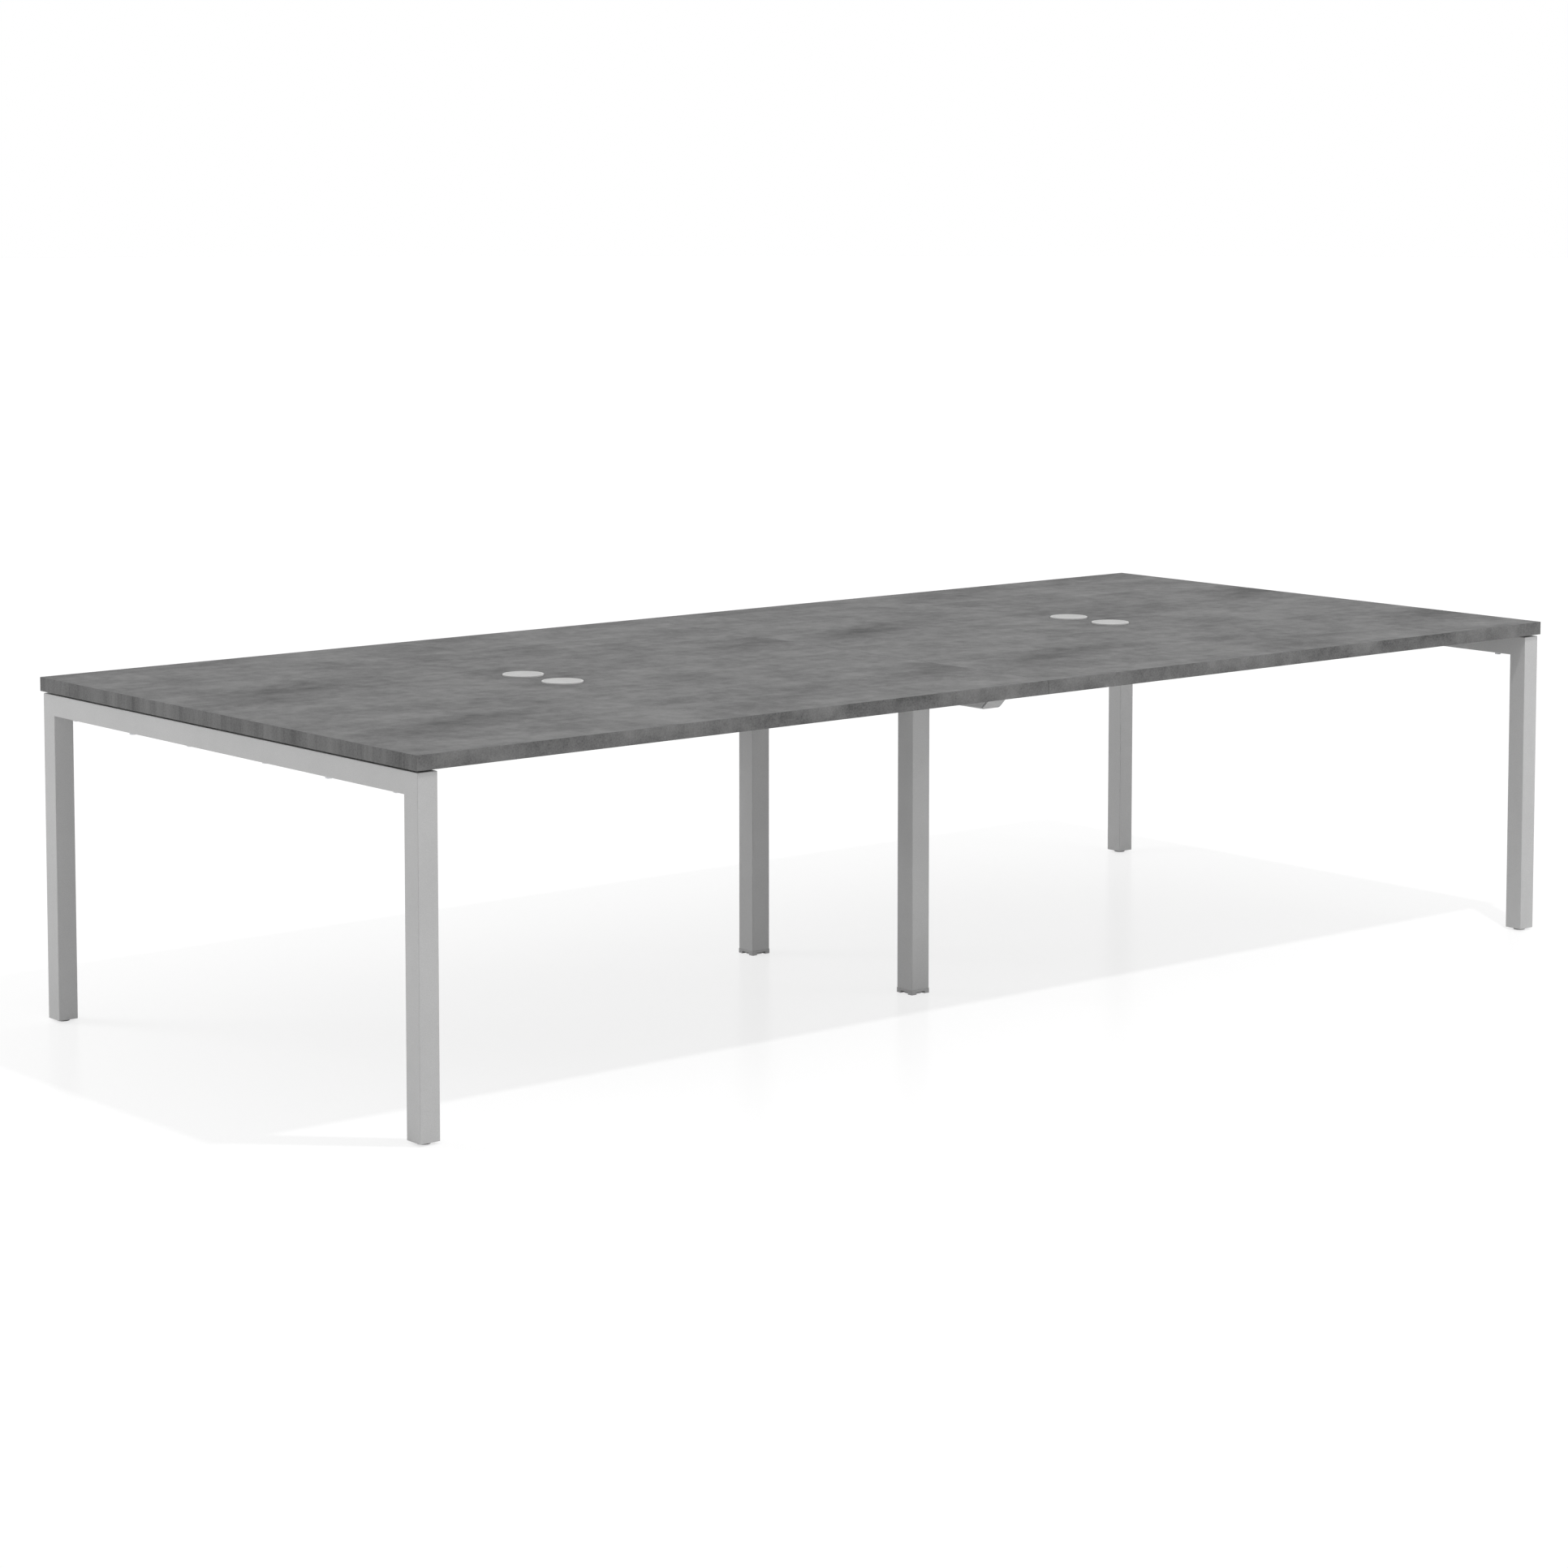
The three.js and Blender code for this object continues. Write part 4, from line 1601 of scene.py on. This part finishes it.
@dataclass
class Stretchers:
    """The long stretchers under the boards, with the bolts at the middle beam."""

    soft_edge: float = 0.4 * MM
    bolt: Bolt = field(default_factory=Bolt)

    def build(self, shop: Workshop) -> None:
        """Builds the four stretchers and their bolts.

        Args:
            shop: Place where pieces are made.
        """
        for corner in CORNERS:
            node = f"{corner}_stretcher"
            shop.place(f"{corner}_long_tube", shop.softened(node, self.soft_edge), Slot.SILVER, [node])
            node = f"{corner}_seam_bolt"
            shop.place(f"{corner}_beam_screw", self.bolt.mesh(node), Slot.ZINC, [node])


# Studio


@dataclass(frozen=True)
class SoftBox:
    """A wide round lamp beside the table."""

    name: str
    at: Place
    power: float
    width: float = 2.5
    aim: Place = (0.0, 0.0, 0.7)

    def build(self) -> None:
        """Hangs the lamp and turns it to the table."""
        data = bpy.data.lights.new(self.name, "AREA")
        data.shape = "DISK"
        data.size = self.width
        data.energy = self.power
        lamp = in_scene(self.name, data)
        lamp.location = self.at
        towards = Vector(self.aim) - Vector(self.at)
        lamp.rotation_euler = towards.to_track_quat("-Z", "Y").to_euler()


@dataclass(frozen=True)
class Studio:
    """Pale floor, soft light and the camera of the photograph."""

    floor_radius: float = 60.0
    floor_facets: int = 64
    floor_bounce: float = 0.9
    floor_shade: float = 0.352
    floor_glow: float = 0.715
    floor_roughness: float = 0.2
    floor_specular: float = 0.005
    sky_level: float = 0.56
    key_power: float = 470.0
    key_radius: float = 0.12
    key_at: Place = (0.37, -2.6, 5.8)
    fills: tuple[SoftBox, ...] = (
        SoftBox("rear_fill", at=(-4.0, 4.0, 2.5), power=60.0),
        SoftBox("front_fill", at=(3.5, -4.0, 2.0), power=20.0),
    )
    camera_at: Place = (-5.621, -6.5842, 1.8391)
    camera_heading: float = math.radians(39.7779)
    camera_dip: float = math.radians(5.0)
    camera_lens: float = 89.609
    camera_sensor: float = 36.0
    camera_rise: float = -0.1855
    camera_reach: float = 200.0

    def build(self) -> None:
        """Sets up the view, the floor, the world, the lamps and the camera."""
        bpy.context.scene.view_settings.view_transform = "Standard"
        self.floor()
        self.sky()
        self.key_light()
        for fill in self.fills:
            fill.build()
        self.camera()

    def floor(self) -> None:
        """A wide pale floor that shows white where nothing shades it and keeps a light shadow.

        Rays that show the floor see part of its white as its own, so that its shadow stays pale. All other
        rays see plain pale paint, which sends light up under the table.
        """
        mesh = bmesh.new()
        bmesh.ops.create_circle(mesh, cap_ends=True, segments=self.floor_facets, radius=self.floor_radius)
        data = mesh_data("floor", mesh)
        material, sketch, shader = new_material("pale_floor")
        seen = self.seen(sketch)
        pale, shaded = (*grey(self.floor_bounce), 1.0), (*grey(self.floor_shade), 1.0)
        sketch.feed(shader, "Base Color", sketch.mixed(seen, pale, shaded))
        sketch.feed(shader, "Roughness", self.floor_roughness)
        sketch.feed(shader, "Specular IOR Level", self.floor_specular)
        sketch.feed(shader, "Emission Color", WHITE)
        sketch.feed(shader, "Emission Strength", sketch.maths("MULTIPLY", seen, self.floor_glow))
        data.materials.append(material)
        floor = in_scene("floor", data)

    @staticmethod
    def seen(sketch: Sketch) -> Socket:
        """1 for rays that show a background, which are camera, glossy and transmission rays.

        Args:
            sketch: Tree that the nodes go into.

        Returns:
            1 for such rays and 0 for others.
        """
        path = sketch.add("ShaderNodeLightPath", {}).outputs
        either = sketch.maths("MAXIMUM", path["Is Camera Ray"], path["Is Glossy Ray"])
        return sketch.maths("MAXIMUM", either, path["Is Transmission Ray"])

    def sky(self) -> None:
        """A white background over an even, soft light."""
        world = bpy.data.worlds.new("studio")
        world.use_nodes = True
        tree = world.node_tree
        tree.nodes.clear()
        sketch = Sketch(tree)
        extra = sketch.maths("MULTIPLY", self.seen(sketch), 1.0 - self.sky_level)
        level = sketch.maths("ADD", extra, self.sky_level)
        background = sketch.add("ShaderNodeBackground", {"Color": WHITE, "Strength": level})
        output = sketch.add("ShaderNodeOutputWorld", {})
        tree.links.new(background.outputs["Background"], output.inputs["Surface"])
        bpy.context.scene.world = world

    def key_light(self) -> None:
        """A lamp high in front of the table, which throws its shadow to the rear."""
        data = bpy.data.lights.new("key", "POINT")
        data.energy = self.key_power
        data.shadow_soft_size = self.key_radius
        in_scene("key", data).location = self.key_at

    def camera(self) -> None:
        """The camera at the place the photograph was taken from."""
        data = bpy.data.cameras.new("camera")
        data.lens = self.camera_lens
        data.sensor_width = self.camera_sensor
        data.shift_y = self.camera_rise
        data.clip_end = self.camera_reach
        camera = in_scene("camera", data)
        camera.location = self.camera_at
        camera.rotation_euler = (math.pi / 2 - self.camera_dip, 0.0, -self.camera_heading)
        bpy.context.scene.camera = camera


def main() -> None:
    """Builds the table's pieces in order and sets up the studio."""
    logging.basicConfig(level=logging.INFO, format="%(name)s: %(message)s")
    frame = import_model()
    shop = Workshop(nodes=frame["nodes"], effects=Effects())
    sub_assemblies = [TableTop(), Grommets(), *(EndFrame(end) for end in End), Trestle(), Stretchers()]
    for sub_assembly in sub_assemblies:
        sub_assembly.build(shop)
    Studio().build()
    LOG.info("%d pieces made", shop.made)
    bpy.context.view_layer.update()


if __name__ == "__main__":
    main()
